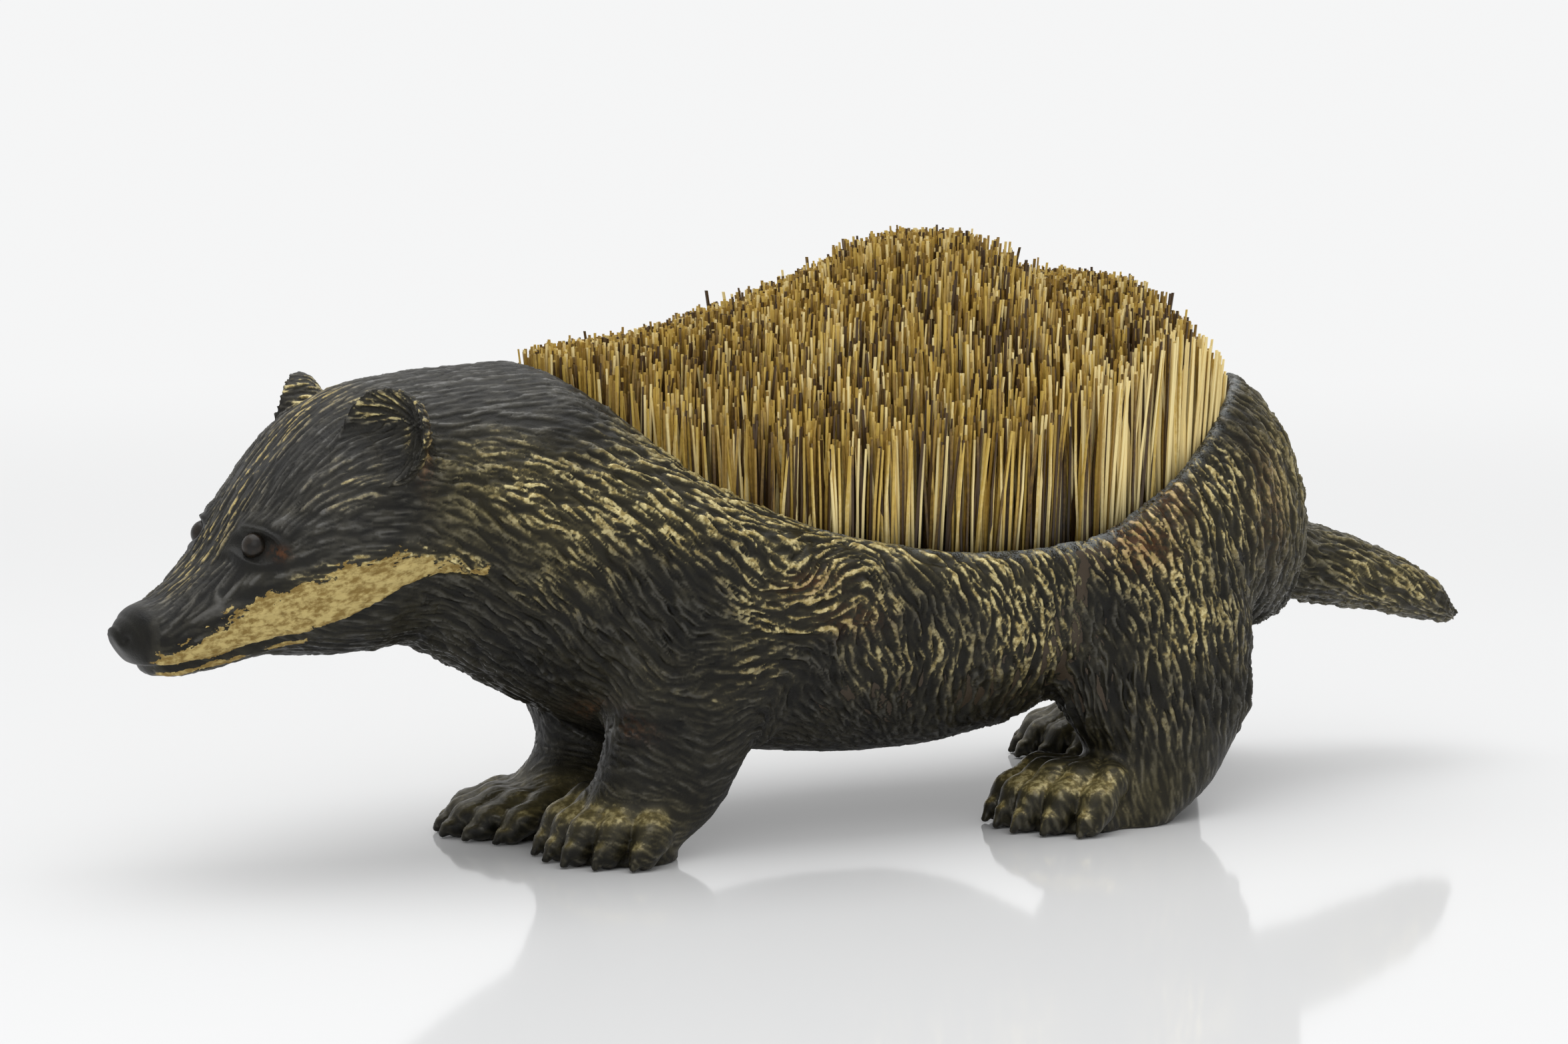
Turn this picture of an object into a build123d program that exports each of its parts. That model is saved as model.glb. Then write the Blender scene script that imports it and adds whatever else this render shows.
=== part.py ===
"""A desk pen wipe: a bronze badger whose open back holds a lift-out bristle brush.

Frame: the nose points along -X, the tail along +X, the badger's left side is -Y and +Z is up.
The origin is on the floor under the middle of the overall length. Millimetres throughout.
"""
import os
from math import cos, pi, radians, sin

from build123d import *

# Body sections, each as x, height of the widest line, half width, rise above that line, drop below it
NECK_SECTION = (-47.0, 31.5, 11.6, 12.9, 11.7)
TRUNK_SECTIONS = [
    NECK_SECTION,
    (-40.0, 30.3, 14.2, 14.6, 13.8),
    (-33.5, 29.4, 16.2, 15.7, 16.0),
    (-28.0, 28.6, 17.6, 12.7, 17.6),
    (-22.0, 27.3, 18.8, 9.4, 18.0),
    (-12.0, 25.0, 20.1, 7.8, 17.4),
    (0.0, 23.5, 20.9, 7.8, 16.9),
    (12.0, 23.5, 21.2, 8.8, 16.9),
    (24.0, 24.5, 20.9, 11.0, 13.6),
    (32.0, 26.0, 19.8, 14.6, 13.2),
    (38.5, 27.0, 17.8, 15.7, 12.4),
    (45.0, 26.8, 13.6, 12.2, 10.5),
    (49.7, 26.1, 9.2, 8.0, 8.0),
    (52.4, 25.6, 4.6, 4.0, 4.2),
]
HEAD_SECTIONS = [
    NECK_SECTION,
    (-52.0, 31.0, 12.3, 12.5, 11.3),
    (-57.0, 29.5, 11.7, 11.1, 10.0),
    (-61.5, 27.5, 9.5, 9.2, 8.1),
    (-66.0, 24.6, 7.0, 5.8, 5.8),
    (-70.0, 22.4, 5.1, 3.8, 3.8),
    (-73.0, 21.9, 3.7, 2.7, 2.6),
    (-75.0, 21.8, 1.9, 1.5, 1.5),
]
TAIL_SECTIONS = [
    (48.5, 22.8, 6.6, 4.6, 4.4),
    (56.0, 21.2, 6.4, 4.4, 4.2),
    (62.0, 19.4, 6.2, 3.8, 3.6),
    (68.0, 17.2, 5.4, 3.0, 2.9),
    (72.8, 15.2, 3.6, 1.9, 1.9),
    (75.0, 14.3, 1.6, 0.9, 0.9),
]
SECTION_POINTS = 16
SECTION_FULLNESS = 2.2

# Well in the back: half outline from the nape to the rump, as x and half width
WELL_OUTLINE = [
    (-33.5, 0.0), (-29.0, 6.0), (-21.0, 11.5), (-9.0, 16.3), (7.0, 18.8),
    (21.0, 18.4), (32.0, 15.0), (39.5, 9.0), (43.5, 0.0),
]
RIM_POINTS = 32
SEAT_HEIGHT = 20.0
LEDGE_WIDTH = 3.0
KEEL_THICKNESS = 6.0

# Brush block
SIDE_CLEARANCE = 0.45
SEAT_CLEARANCE = 0.3
STOCK_THICKNESS = 3.2
BED_THICKNESS = 0.8
BACKING_THICKNESS = 0.8

# Bristles
STRAND_SIDE = 1.1
STRAND_GAP = 1.1
STRAND_SHIFT = 0.25
STRAND_TURN = 45.0
EDGE_MARGIN = 0.75
HEIGHT_SCATTER = 0.8
CREST_START = -9.0
REAR_START = 18.0
# Crown of the brush along its middle and along its edge, as x and height
CROWN_RIDGE = [
    (-33.5, 45.6), (-29.5, 46.6), (-22.9, 47.2), (-17.1, 48.2), (-6.0, 51.2), (0.9, 53.6), (5.3, 55.6),
    (13.4, 55.4), (17.0, 53.3), (20.6, 52.0), (30.5, 51.4), (35.0, 47.4), (40.0, 41.6), (43.5, 37.0),
]
CROWN_EDGE = [
    (-33.5, 45.6), (-24.0, 38.6), (-12.0, 35.2), (0.0, 35.0), (12.0, 36.4), (20.0, 40.6), (28.0, 45.0),
    (34.0, 44.0), (43.5, 36.0),
]
CROWN_ROUNDING = 2.0

# Locks of fur that stand proud of both flanks, as x, height and rise in degrees at the middle of each
LOCKS = [
    (-39.5, 35.0, -20), (-37.5, 26.5, -32), (-31.0, 34.0, -28), (-29.5, 25.0, -48), (-22.0, 30.0, -32),
    (-19.0, 22.0, -15), (-12.0, 27.0, -28), (-9.0, 18.5, -62), (-2.0, 25.5, -36), (0.5, 16.5, -74),
    (8.0, 24.5, -50), (9.0, 15.5, -76), (17.0, 27.0, -52), (16.5, 18.5, -68), (26.5, 29.5, -58),
    (25.5, 23.5, -66), (34.0, 35.0, -66), (34.5, 25.5, -72), (42.0, 32.0, -64), (42.5, 22.5, -70),
]
LOCK_LENGTH = 9.0
LOCK_RADIUS = 1.4

# Ears: place on the head as x and turn up from the left or right side line, then the cup's own sizes
EAR_X = -53.0
EAR_TURN = 48.0
EAR_LIFT = 0.6
EAR_FACING = (-0.72, 0.66, 0.22)
EAR_RADIUS = 4.4
EAR_THICKNESS = 1.5
EAR_DISH = 1.3
EAR_RIM_THICKNESS = 0.75
EAR_BEND = 0.62

# Eyes: place on the head as x and turn up from the side line, and the bead's radius
EYE_X = -63.6
EYE_TURN = 29.0
EYE_RADIUS = 1.3

# Legs: sections from the sole up as height, centre x, centre y, half length and half width. Each leg
# stands its own way, because the badger is walking
LEFT_FORE_LEG = [
    (0.0, -28.3, -10.5, 4.3, 5.2),
    (3.0, -27.5, -10.6, 5.3, 5.4),
    (6.0, -25.6, -10.7, 6.4, 5.5),
    (10.0, -23.6, -10.9, 7.2, 5.9),
    (14.0, -21.8, -11.2, 8.4, 6.8),
    (20.0, -21.0, -10.8, 9.2, 7.3),
    (27.0, -22.0, -9.5, 6.5, 5.0),
]
RIGHT_FORE_LEG = [
    (0.0, -30.0, 6.5, 4.8, 5.2),
    (3.0, -27.8, 6.8, 5.8, 5.4),
    (7.0, -23.6, 7.6, 6.2, 5.2),
    (13.0, -22.8, 9.2, 8.0, 6.2),
    (20.0, -22.0, 10.2, 9.0, 7.2),
    (27.0, -22.0, 9.5, 6.5, 5.0),
]
LEFT_HIND_LEG = [
    (0.0, 21.0, -17.0, 5.5, 5.3),
    (3.0, 23.7, -16.8, 6.8, 5.5),
    (7.0, 26.4, -16.5, 8.2, 5.4),
    (10.0, 26.3, -16.2, 9.9, 5.8),
    (15.0, 25.8, -15.2, 11.2, 6.8),
    (21.0, 27.0, -13.2, 10.4, 8.3),
    (27.0, 28.0, -10.0, 7.5, 7.5),
    (30.0, 28.0, -8.0, 5.0, 5.0),
]
RIGHT_HIND_LEG = [
    (0.0, 46.0, 17.0, 5.8, 5.4),
    (3.0, 46.6, 16.7, 6.4, 5.4),
    (7.0, 46.1, 15.7, 7.0, 5.4),
    (12.0, 43.8, 14.0, 8.4, 6.0),
    (18.0, 40.9, 11.9, 9.4, 7.2),
    (24.0, 38.5, 8.7, 7.5, 7.2),
    (29.0, 37.0, 6.0, 5.0, 5.0),
]

# Paws: how far the pad's centre lies ahead of the sole's, then the pad, the toes and their claws
FORE_PAW_LEAD = 0.6
HIND_PAW_LEAD = 5.4
PAD_HALF_LENGTH = 6.2
PAD_HALF_WIDTH = 6.2
PAD_HEIGHT = 5.4
PAD_LEVELS = [(0.0, 1.0), (0.45, 0.97), (0.8, 0.72), (1.0, 0.35)]
TOE_COUNT = 5
TOE_LENGTH = 7.4
TOE_RADIUS = 1.6
TOE_DROP = 24.0
TOE_SPREAD = 8.0
TOE_SPACING = 2.3
TOE_STAGGER = 0.8
KNUCKLE_HEIGHT = 3.8
KNUCKLE_LEAD = 0.6
CLAW_LENGTH = 3.2
CLAW_RADIUS = 0.8

# Dowels that locate the head and the tail
NECK_DOWEL_RADIUS = 2.5
NECK_DOWEL_LENGTH = 14.0
TAIL_DOWEL_RADIUS = 1.5
TAIL_DOWEL_LENGTH = 8.0
DOWEL_CLEARANCE = 0.05

# Heights and places that follow from the sizes above
keel_height = min(mid - drop for _, mid, _, _, drop in TRUNK_SECTIONS)
well_top = max(height for _, height in CROWN_RIDGE)
stock_base = SEAT_HEIGHT + SEAT_CLEARANCE
bed_base = stock_base + STOCK_THICKNESS
backing_base = bed_base + BED_THICKNESS
backing_top = backing_base + BACKING_THICKNESS
strand_pitch = STRAND_SIDE + STRAND_GAP
nape_x, rump_x = WELL_OUTLINE[0][0], WELL_OUTLINE[-1][0]

os.makedirs("parts", exist_ok=True)


def finish(solid, name):
    """Label a finished piece and write its file."""
    solid.label = name
    export_step(solid, f"parts/{name}.step")


def between(table, x):
    """Row of a table at x, in straight lines between the rows that it gives."""
    rows = sorted(table)
    for low, high in zip(rows, rows[1:]):
        if low[0] <= x <= high[0]:
            share = (x - low[0]) / (high[0] - low[0])
            return [a + (b - a) * share for a, b in zip(low, high)]
    return rows[0] if x < rows[0][0] else rows[-1]


def section_reach(turn):
    """How far a unit oval, squared by the fullness, reaches at a turn, as across and upward."""
    across, upward = cos(turn), sin(turn)
    reach = (abs(across) ** SECTION_FULLNESS + abs(upward) ** SECTION_FULLNESS) ** (-1 / SECTION_FULLNESS)
    return across * reach, upward * reach


def body_form(sections):
    """Loft through the closed outlines that a table of sections gives."""
    with BuildPart() as form:
        for x, mid, half_width, rise, drop in sections:
            points = []
            for step in range(SECTION_POINTS):
                across, upward = section_reach(2 * pi * step / SECTION_POINTS)
                points.append((half_width * across, (rise if upward > 0 else drop) * upward))
            with BuildSketch(Plane((x, 0, mid), x_dir=(0, 1, 0), z_dir=(1, 0, 0))):
                with BuildLine():
                    Spline(*points, periodic=True)
                make_face()
        loft()
    return form.part


def head_point(x, turn, side):
    """Point on the upper side of the head at x, turned up from the side line by so many degrees."""
    _, mid, half_width, rise, _ = between(HEAD_SECTIONS, x)
    across, upward = section_reach(radians(turn))
    return Vector(x, side * half_width * across, mid + rise * upward)


def flank_point(x, height, side):
    """Point of the trunk's skin at x and a height, on one side."""
    _, mid, half_width, rise, drop = between(TRUNK_SECTIONS, x)
    level = abs(height - mid) / (rise if height > mid else drop)
    return Vector(x, side * half_width * (1 - level**SECTION_FULLNESS) ** (1 / SECTION_FULLNESS), height)


def lock(x, height, lie, side):
    """Spindle of fur whose axis lies on the skin."""
    half_x, half_z = LOCK_LENGTH / 2 * cos(radians(lie)), LOCK_LENGTH / 2 * sin(radians(lie))
    root, tip = flank_point(x - half_x, height - half_z, side), flank_point(x + half_x, height + half_z, side)
    return spindle(root, (tip - root).normalized(), LOCK_LENGTH, LOCK_RADIUS)


def well_prism(inset, low, high):
    """Upright block with the well's outline, drawn in by the inset along the outline's own normals."""
    near_side = [(x, -width) for x, width in WELL_OUTLINE[-2:0:-1]]
    rim = Spline(*WELL_OUTLINE, *near_side, periodic=True)
    points = []
    for step in range(RIM_POINTS):
        share = step / RIM_POINTS
        points.append(rim @ share + (rim % share).rotate(Axis.Z, -90) * inset)
    with BuildPart() as block:
        with BuildSketch(Plane.XY.offset(low)):
            with BuildLine():
                Spline(*points, periodic=True)
            make_face()
        extrude(amount=high - low)
    return block.part


def round_bar(plane, radius, length):
    """Round bar centred on the plane's origin, along its normal."""
    with BuildPart() as bar:
        with BuildSketch(plane.offset(-length / 2)):
            Circle(radius)
        extrude(amount=length)
    return bar.part


def spindle(start, direction, length, radius):
    """Long egg from the start point along the direction, for a toe or a claw."""
    middle = start + direction * (length / 2)
    plane = Plane(middle, x_dir=direction, z_dir=Vector(0, 0, 1).cross(direction).cross(direction))
    with BuildPart() as egg:
        with BuildSketch(plane):
            Ellipse(length / 2, radius)
            split(bisect_by=Plane.XZ)
        revolve(axis=Axis(middle, direction))
    return egg.part


def eye(side):
    """Bead whose middle lies on the head's surface."""
    with BuildPart() as bead:
        with Locations(head_point(EYE_X, EYE_TURN, side)):
            Sphere(EYE_RADIUS)
    return bead.part


def ear(side):
    """Dished disc that faces forwards and outwards, cut to the head and the neck."""
    centre = head_point(EAR_X, EAR_TURN, side) + Vector(0, 0, EAR_LIFT)
    facing = Plane(centre, z_dir=(EAR_FACING[0], side * EAR_FACING[1], EAR_FACING[2]))
    behind = EAR_DISH + EAR_THICKNESS
    with BuildPart() as shell:
        with BuildSketch(Plane(centre, x_dir=facing.x_dir, z_dir=facing.y_dir)):
            with BuildLine():
                front = ThreePointArc(
                    (0, EAR_DISH), (EAR_RADIUS * EAR_BEND, EAR_DISH * EAR_BEND), (EAR_RADIUS, 0)
                )
                back = ThreePointArc(
                    (0, behind), (EAR_RADIUS * EAR_BEND, behind * (1 + EAR_BEND) / 2),
                    (EAR_RADIUS, EAR_RIM_THICKNESS),
                )
                Line(front @ 0, back @ 0)
                Line(front @ 1, back @ 1)
            make_face()
        revolve(axis=Axis(centre, facing.z_dir))
        add(head_form, mode=Mode.SUBTRACT)
        add(trunk_form, mode=Mode.SUBTRACT)
    return shell.part


def toes(pad_x, pad_y):
    """Fanned toes that slope from the knuckles to the floor, each with its claw."""
    dip = radians(TOE_DROP)
    pieces = []
    for count in range(TOE_COUNT):
        place = count - (TOE_COUNT - 1) / 2
        swing = radians(TOE_SPREAD * place)
        ahead = Vector(-cos(swing), sin(swing), 0)
        slope = ahead * cos(dip) - Vector(0, 0, sin(dip))
        knuckle = Vector(
            pad_x - KNUCKLE_LEAD + TOE_STAGGER * abs(place), pad_y + TOE_SPACING * place, KNUCKLE_HEIGHT
        )
        claw_root = knuckle + slope * (TOE_LENGTH - CLAW_LENGTH / 2)
        claw_root.Z = CLAW_RADIUS
        pieces.append(spindle(knuckle, slope, TOE_LENGTH, TOE_RADIUS))
        pieces.append(spindle(claw_root, ahead, CLAW_LENGTH, CLAW_RADIUS))
    return pieces


def leg(sections, paw_lead):
    """One leg: shank, pad, toes and claws, cut to the trunk and flat on the floor."""
    pad_x, pad_y = sections[0][1] - paw_lead, sections[0][2]
    paw_toes = toes(pad_x, pad_y)
    with BuildPart() as limb:
        for height, x, y, half_length, half_width in sections:
            with BuildSketch(Plane.XY.offset(height)):
                with Locations((x, y)):
                    Ellipse(half_length, half_width)
        loft()
        for level, share in PAD_LEVELS:
            with BuildSketch(Plane.XY.offset(level * PAD_HEIGHT)):
                with Locations((pad_x + (1 - share) * paw_lead, pad_y)):
                    Ellipse(PAD_HALF_LENGTH * share, PAD_HALF_WIDTH * share)
        loft()
        add(paw_toes)
        split(bisect_by=Plane.XY, keep=Keep.TOP)
        add(trunk_form, mode=Mode.SUBTRACT)
    return limb.part


def crown_height(x, y):
    """Height of the brush's crown: from its edge at the rim up to its ridge in the middle."""
    width = max(between(WELL_OUTLINE, x)[1], strand_pitch)
    across = min(abs(y) / width, 1)
    edge, ridge = between(CROWN_EDGE, x)[1], between(CROWN_RIDGE, x)[1]
    return edge + (ridge - edge) * (1 - across**CROWN_ROUNDING)


def between_rows(x):
    """Place nearest to x that lies midway between two rows of strands."""
    return nape_x + round((x - nape_x) / strand_pitch) * strand_pitch


def strand(x, y, row, column):
    """Four-sided bristle lock that starts inside the backing and ends at the crown."""
    phase = 13 * row + 78 * column
    foot = Vector(x + STRAND_SHIFT * sin(3 * phase), y + STRAND_SHIFT * sin(5 * phase), backing_base)
    foot.Z += BACKING_THICKNESS / 2
    top = crown_height(foot.X, foot.Y) + HEIGHT_SCATTER * sin(7 * phase)
    square = Plane(foot) * Rectangle(STRAND_SIDE, STRAND_SIDE, rotation=STRAND_TURN * sin(9 * phase))
    return extrude(square, top - foot.Z)


def brush_field(start, end):
    """Bristles between two stations, fused to their slice of the backing."""
    backing = well_prism(SIDE_CLEARANCE, backing_base, backing_top)
    footprint = well_prism(SIDE_CLEARANCE + EDGE_MARGIN, 0, BACKING_THICKNESS).faces().sort_by(Axis.Z)[0]
    half_columns = round(max(width for _, width in WELL_OUTLINE) / strand_pitch)
    strands = []
    for row in range(round((start - nape_x) / strand_pitch), round((end - nape_x) / strand_pitch)):
        for column in range(-half_columns, half_columns + 1):
            x = nape_x + (row + 0.5) * strand_pitch
            y = (column + 0.5 * (row % 2)) * strand_pitch
            if footprint.is_inside(Vector(x, y, 0)):
                strands.append(strand(x, y, row, column))
    with BuildPart() as field:
        add(backing)
        split(bisect_by=Plane((start, 0, 0), z_dir=(1, 0, 0)), keep=Keep.TOP)
        split(bisect_by=Plane((end, 0, 0), z_dir=(1, 0, 0)), keep=Keep.BOTTOM)
        add(strands)
    print("strands in this field:", len(strands))
    return field.part


# Forms before they are hollowed or bored, which their neighbours are cut to
smooth_trunk = body_form(TRUNK_SECTIONS)
locks = [lock(x, height, lie, side) for x, height, lie in LOCKS for side in (-1, 1)]
with BuildPart() as furred_trunk:
    add(smooth_trunk)
    add(locks)
trunk_form = furred_trunk.part
head_form = body_form(HEAD_SECTIONS)
neck_plane = Plane((NECK_SECTION[0], 0, NECK_SECTION[1]), z_dir=(1, 0, 0))
tail_root_x = TRUNK_SECTIONS[-1][0]
tail_plane = Plane((tail_root_x, 0, between(TAIL_SECTIONS, tail_root_x)[1]), z_dir=(1, 0, 0))
neck_dowel = round_bar(neck_plane, NECK_DOWEL_RADIUS, NECK_DOWEL_LENGTH)
tail_dowel = round_bar(tail_plane, TAIL_DOWEL_RADIUS, TAIL_DOWEL_LENGTH)
neck_bore = round_bar(neck_plane, NECK_DOWEL_RADIUS + DOWEL_CLEARANCE, NECK_DOWEL_LENGTH)
tail_bore = round_bar(tail_plane, TAIL_DOWEL_RADIUS + DOWEL_CLEARANCE, TAIL_DOWEL_LENGTH)
left_eye, right_eye = eye(-1), eye(1)

# Trunk casting: the seat pocket takes the brush block, whose edge rests on the ledge over the hollow
with BuildPart() as trunk:
    add(trunk_form)
    add(well_prism(0, SEAT_HEIGHT, well_top), mode=Mode.SUBTRACT)
    add(well_prism(LEDGE_WIDTH, keel_height + KEEL_THICKNESS, well_top), mode=Mode.SUBTRACT)
    add(neck_bore, mode=Mode.SUBTRACT)
    add(tail_bore, mode=Mode.SUBTRACT)
finish(trunk.part, "trunk")

# Head casting with its eye sockets
with BuildPart() as head:
    add(head_form)
    add(neck_bore, mode=Mode.SUBTRACT)
    add([left_eye, right_eye], mode=Mode.SUBTRACT)
finish(head.part, "head")
finish(left_eye, "left_eye")
finish(right_eye, "right_eye")
finish(ear(-1), "left_ear")
finish(ear(1), "right_ear")

# Leg castings
finish(leg(LEFT_FORE_LEG, FORE_PAW_LEAD), "left_fore_leg")
finish(leg(RIGHT_FORE_LEG, FORE_PAW_LEAD), "right_fore_leg")
finish(leg(LEFT_HIND_LEG, HIND_PAW_LEAD), "left_hind_leg")
finish(leg(RIGHT_HIND_LEG, HIND_PAW_LEAD), "right_hind_leg")

# Tail casting
with BuildPart() as tail:
    add(body_form(TAIL_SECTIONS))
    add(trunk_form, mode=Mode.SUBTRACT)
    add(tail_bore, mode=Mode.SUBTRACT)
finish(tail.part, "tail")
finish(neck_dowel, "neck_dowel")
finish(tail_dowel, "tail_dowel")

# Brush: wooden stock, bed of pitch and three fields of bristle
finish(well_prism(SIDE_CLEARANCE, stock_base, bed_base), "brush_stock")
finish(well_prism(SIDE_CLEARANCE, bed_base, backing_base), "pitch_bed")
finish(brush_field(between_rows(nape_x), between_rows(CREST_START)), "front_bristles")
finish(brush_field(between_rows(CREST_START), between_rows(REAR_START)), "crest_bristles")
finish(brush_field(between_rows(REAR_START), between_rows(rump_x + strand_pitch)), "rear_bristles")
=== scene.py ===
"""Dresses the badger pen wipe: bronze castings with carved fur, a worn well and a full bristle brush.

All sizes are in millimetres until a mesh is written. The castings are one distance field, negative inside,
from which each piece takes its own part, so that the surfaces of neighbours run on without a seam.
"""
import logging
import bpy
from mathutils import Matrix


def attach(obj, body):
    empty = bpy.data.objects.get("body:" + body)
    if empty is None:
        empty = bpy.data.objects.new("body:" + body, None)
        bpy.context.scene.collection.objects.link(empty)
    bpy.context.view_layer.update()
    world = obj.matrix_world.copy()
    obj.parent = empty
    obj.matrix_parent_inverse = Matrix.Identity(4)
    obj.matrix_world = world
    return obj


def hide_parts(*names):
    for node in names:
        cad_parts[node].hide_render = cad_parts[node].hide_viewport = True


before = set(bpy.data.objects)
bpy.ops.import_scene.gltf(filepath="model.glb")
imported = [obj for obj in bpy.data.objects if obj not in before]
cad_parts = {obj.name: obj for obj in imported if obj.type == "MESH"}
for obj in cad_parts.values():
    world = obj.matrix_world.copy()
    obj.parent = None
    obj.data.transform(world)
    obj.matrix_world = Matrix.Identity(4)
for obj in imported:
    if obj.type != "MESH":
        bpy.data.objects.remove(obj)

from concurrent.futures import ThreadPoolExecutor
from dataclasses import dataclass, field
from enum import Enum
from itertools import product
from typing import Callable, Iterable, Sequence

import bmesh
import bpy
import numpy as np

MM = 0.001
CHUNK = 40000
SOFTEST = 1e-6

Array = np.ndarray
Row = tuple[float, ...]

log = logging.getLogger("pen_wipe")


# Small field and curve tools


def smooth_max(a: Array, b: Array, reach: float) -> Array:
    """Larger of a and b, with the crease between them rounded over the reach."""
    share = np.clip(0.5 + 0.5 * (a - b) / reach, 0.0, 1.0)
    return b + (a - b) * share + reach * share * (1.0 - share)


def smooth_min(a: Array, b: Array, reach: float) -> Array:
    """Smaller of a and b, with the crease between them filled over the reach."""
    return -smooth_max(-a, -b, reach)


def fade(value: Array, low: float, high: float) -> Array:
    """0 at low and 1 at high, with level ends: 3t^2 - 2t^3 of the share t between them."""
    share = np.clip((value - low) / (high - low), 0.0, 1.0)
    return share * share * (3.0 - 2.0 * share)


def curve(knots: Array, values: Array, x: Array) -> Array:
    """Smooth curve through given knots, level beyond the ends.

    Each span is a cubic whose end slopes are the central differences of the knots.

    Args:
        knots: rising places of the knots.
        values: value at each knot.
        x: places to read.

    Returns:
        The values at x.
    """
    slopes = np.gradient(values, knots)
    x = np.clip(x, knots[0], knots[-1])
    i = np.clip(np.searchsorted(knots, x, side="right") - 1, 0, len(knots) - 2)
    span = knots[i + 1] - knots[i]
    t = (x - knots[i]) / span
    rest = 1.0 - t
    return (
        (1.0 + 2.0 * t) * rest * rest * values[i]
        + t * rest * rest * span * slopes[i]
        + t * t * (3.0 - 2.0 * t) * values[i + 1]
        - t * t * rest * span * slopes[i + 1]
    )


def unit(vectors: Array) -> Array:
    """Vectors brought to length 1 along their last axis."""
    return vectors / np.maximum(np.linalg.norm(vectors, axis=-1, keepdims=True), SOFTEST)


def scramble(cell: Array, seed: int) -> tuple[Array, Array, Array, Array]:
    """Four even random numbers in 0..1 for each whole-number cell, the same for the same cell and seed."""
    h = (
        cell[..., 0].astype(np.uint32) * np.uint32(73856093)
        ^ cell[..., 1].astype(np.uint32) * np.uint32(19349663)
        ^ cell[..., 2].astype(np.uint32) * np.uint32(83492791)
        ^ np.uint32(seed * 2654435761 % 4294967296)
    )
    out = []
    for turn in range(2):
        h = (h ^ (h >> np.uint32(15))) * np.uint32(2246822519)
        h = (h ^ (h >> np.uint32(13))) * np.uint32(3266489917)
        h = h ^ (h >> np.uint32(16))
        out += [(h & np.uint32(65535)) / np.float32(65536), (h >> np.uint32(16)) / np.float32(65536)]
    return tuple(out)


def cloud(points: Array, size: float, seed: int) -> Array:
    """Smooth random value in 0..1: lattice values of the given cell size, blended with level ends."""
    place = points / size
    base = np.floor(place).astype(np.int64)
    t = (place - base).astype(np.float32)
    t = t * t * (3.0 - 2.0 * t)
    total = np.zeros(len(points), np.float32)
    for corner in product((0, 1), repeat=3):
        share = np.prod(np.where(np.array(corner) == 1, t, 1.0 - t), axis=1)
        total += share * scramble(base + np.array(corner), seed)[0]
    return total


# Sampling blocks and meshes


@dataclass
class Block:
    """Even grid of sample places in a box.

    Args:
        low, high: corners of the box.
        step: distance between samples. Blocks of one step share their places.
    """

    low: Sequence[float]
    high: Sequence[float]
    step: float

    def __post_init__(self) -> None:
        """Lay out the three axes, each shaped to spread over the other two."""
        first = np.floor(np.array(self.low) / self.step).astype(int)
        last = np.ceil(np.array(self.high) / self.step).astype(int)
        self.origin = first * self.step
        axes = [np.arange(a, b + 1) * self.step for a, b in zip(first, last)]
        self.x = axes[0].astype(np.float32)[:, None, None]
        self.y = axes[1].astype(np.float32)[None, :, None]
        self.z = axes[2].astype(np.float32)[None, None, :]
        self.shape = tuple(len(axis) for axis in axes)

    def window(self, low: Sequence[float], high: Sequence[float]) -> tuple[slice, slice, slice]:
        """Index ranges of the samples that lie in a smaller box."""
        cuts = []
        for axis, a, b in zip((self.x, self.y, self.z), low, high):
            line = axis.ravel()
            cuts.append(slice(int(np.searchsorted(line, a)), int(np.searchsorted(line, b, side="right"))))
        return tuple(cuts)

    def part(self, cut: tuple[slice, slice, slice]) -> tuple[Array, Array, Array]:
        """Axes of a window, still shaped to spread."""
        return self.x[cut[0]], self.y[:, cut[1]], self.z[:, :, cut[2]]

    def read(self, values: Array, points: Array) -> Array:
        """Values at any points, blended linearly between the eight samples round each."""
        place = (points - self.origin) / self.step
        base = np.clip(np.floor(place).astype(int), 0, np.array(self.shape) - 2)
        t = np.clip(place - base, 0.0, 1.0)
        flat = values.ravel()
        stride = (self.shape[1] * self.shape[2], self.shape[2], 1)
        start = base @ np.array(stride)
        total = np.zeros(len(points))
        for corner in product((0, 1), repeat=3):
            share = np.prod(np.where(np.array(corner) == 1, t, 1.0 - t), axis=1)
            total += share * flat[start + int(np.dot(corner, stride))]
        return total

    def outward(self, values: Array, points: Array) -> Array:
        """Unit direction in which the values rise fastest, from differences one step each way."""
        rise = np.empty_like(points)
        for axis in range(3):
            shift = np.zeros(3)
            shift[axis] = self.step
            rise[:, axis] = self.read(values, points + shift) - self.read(values, points - shift)
        return unit(rise)


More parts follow.
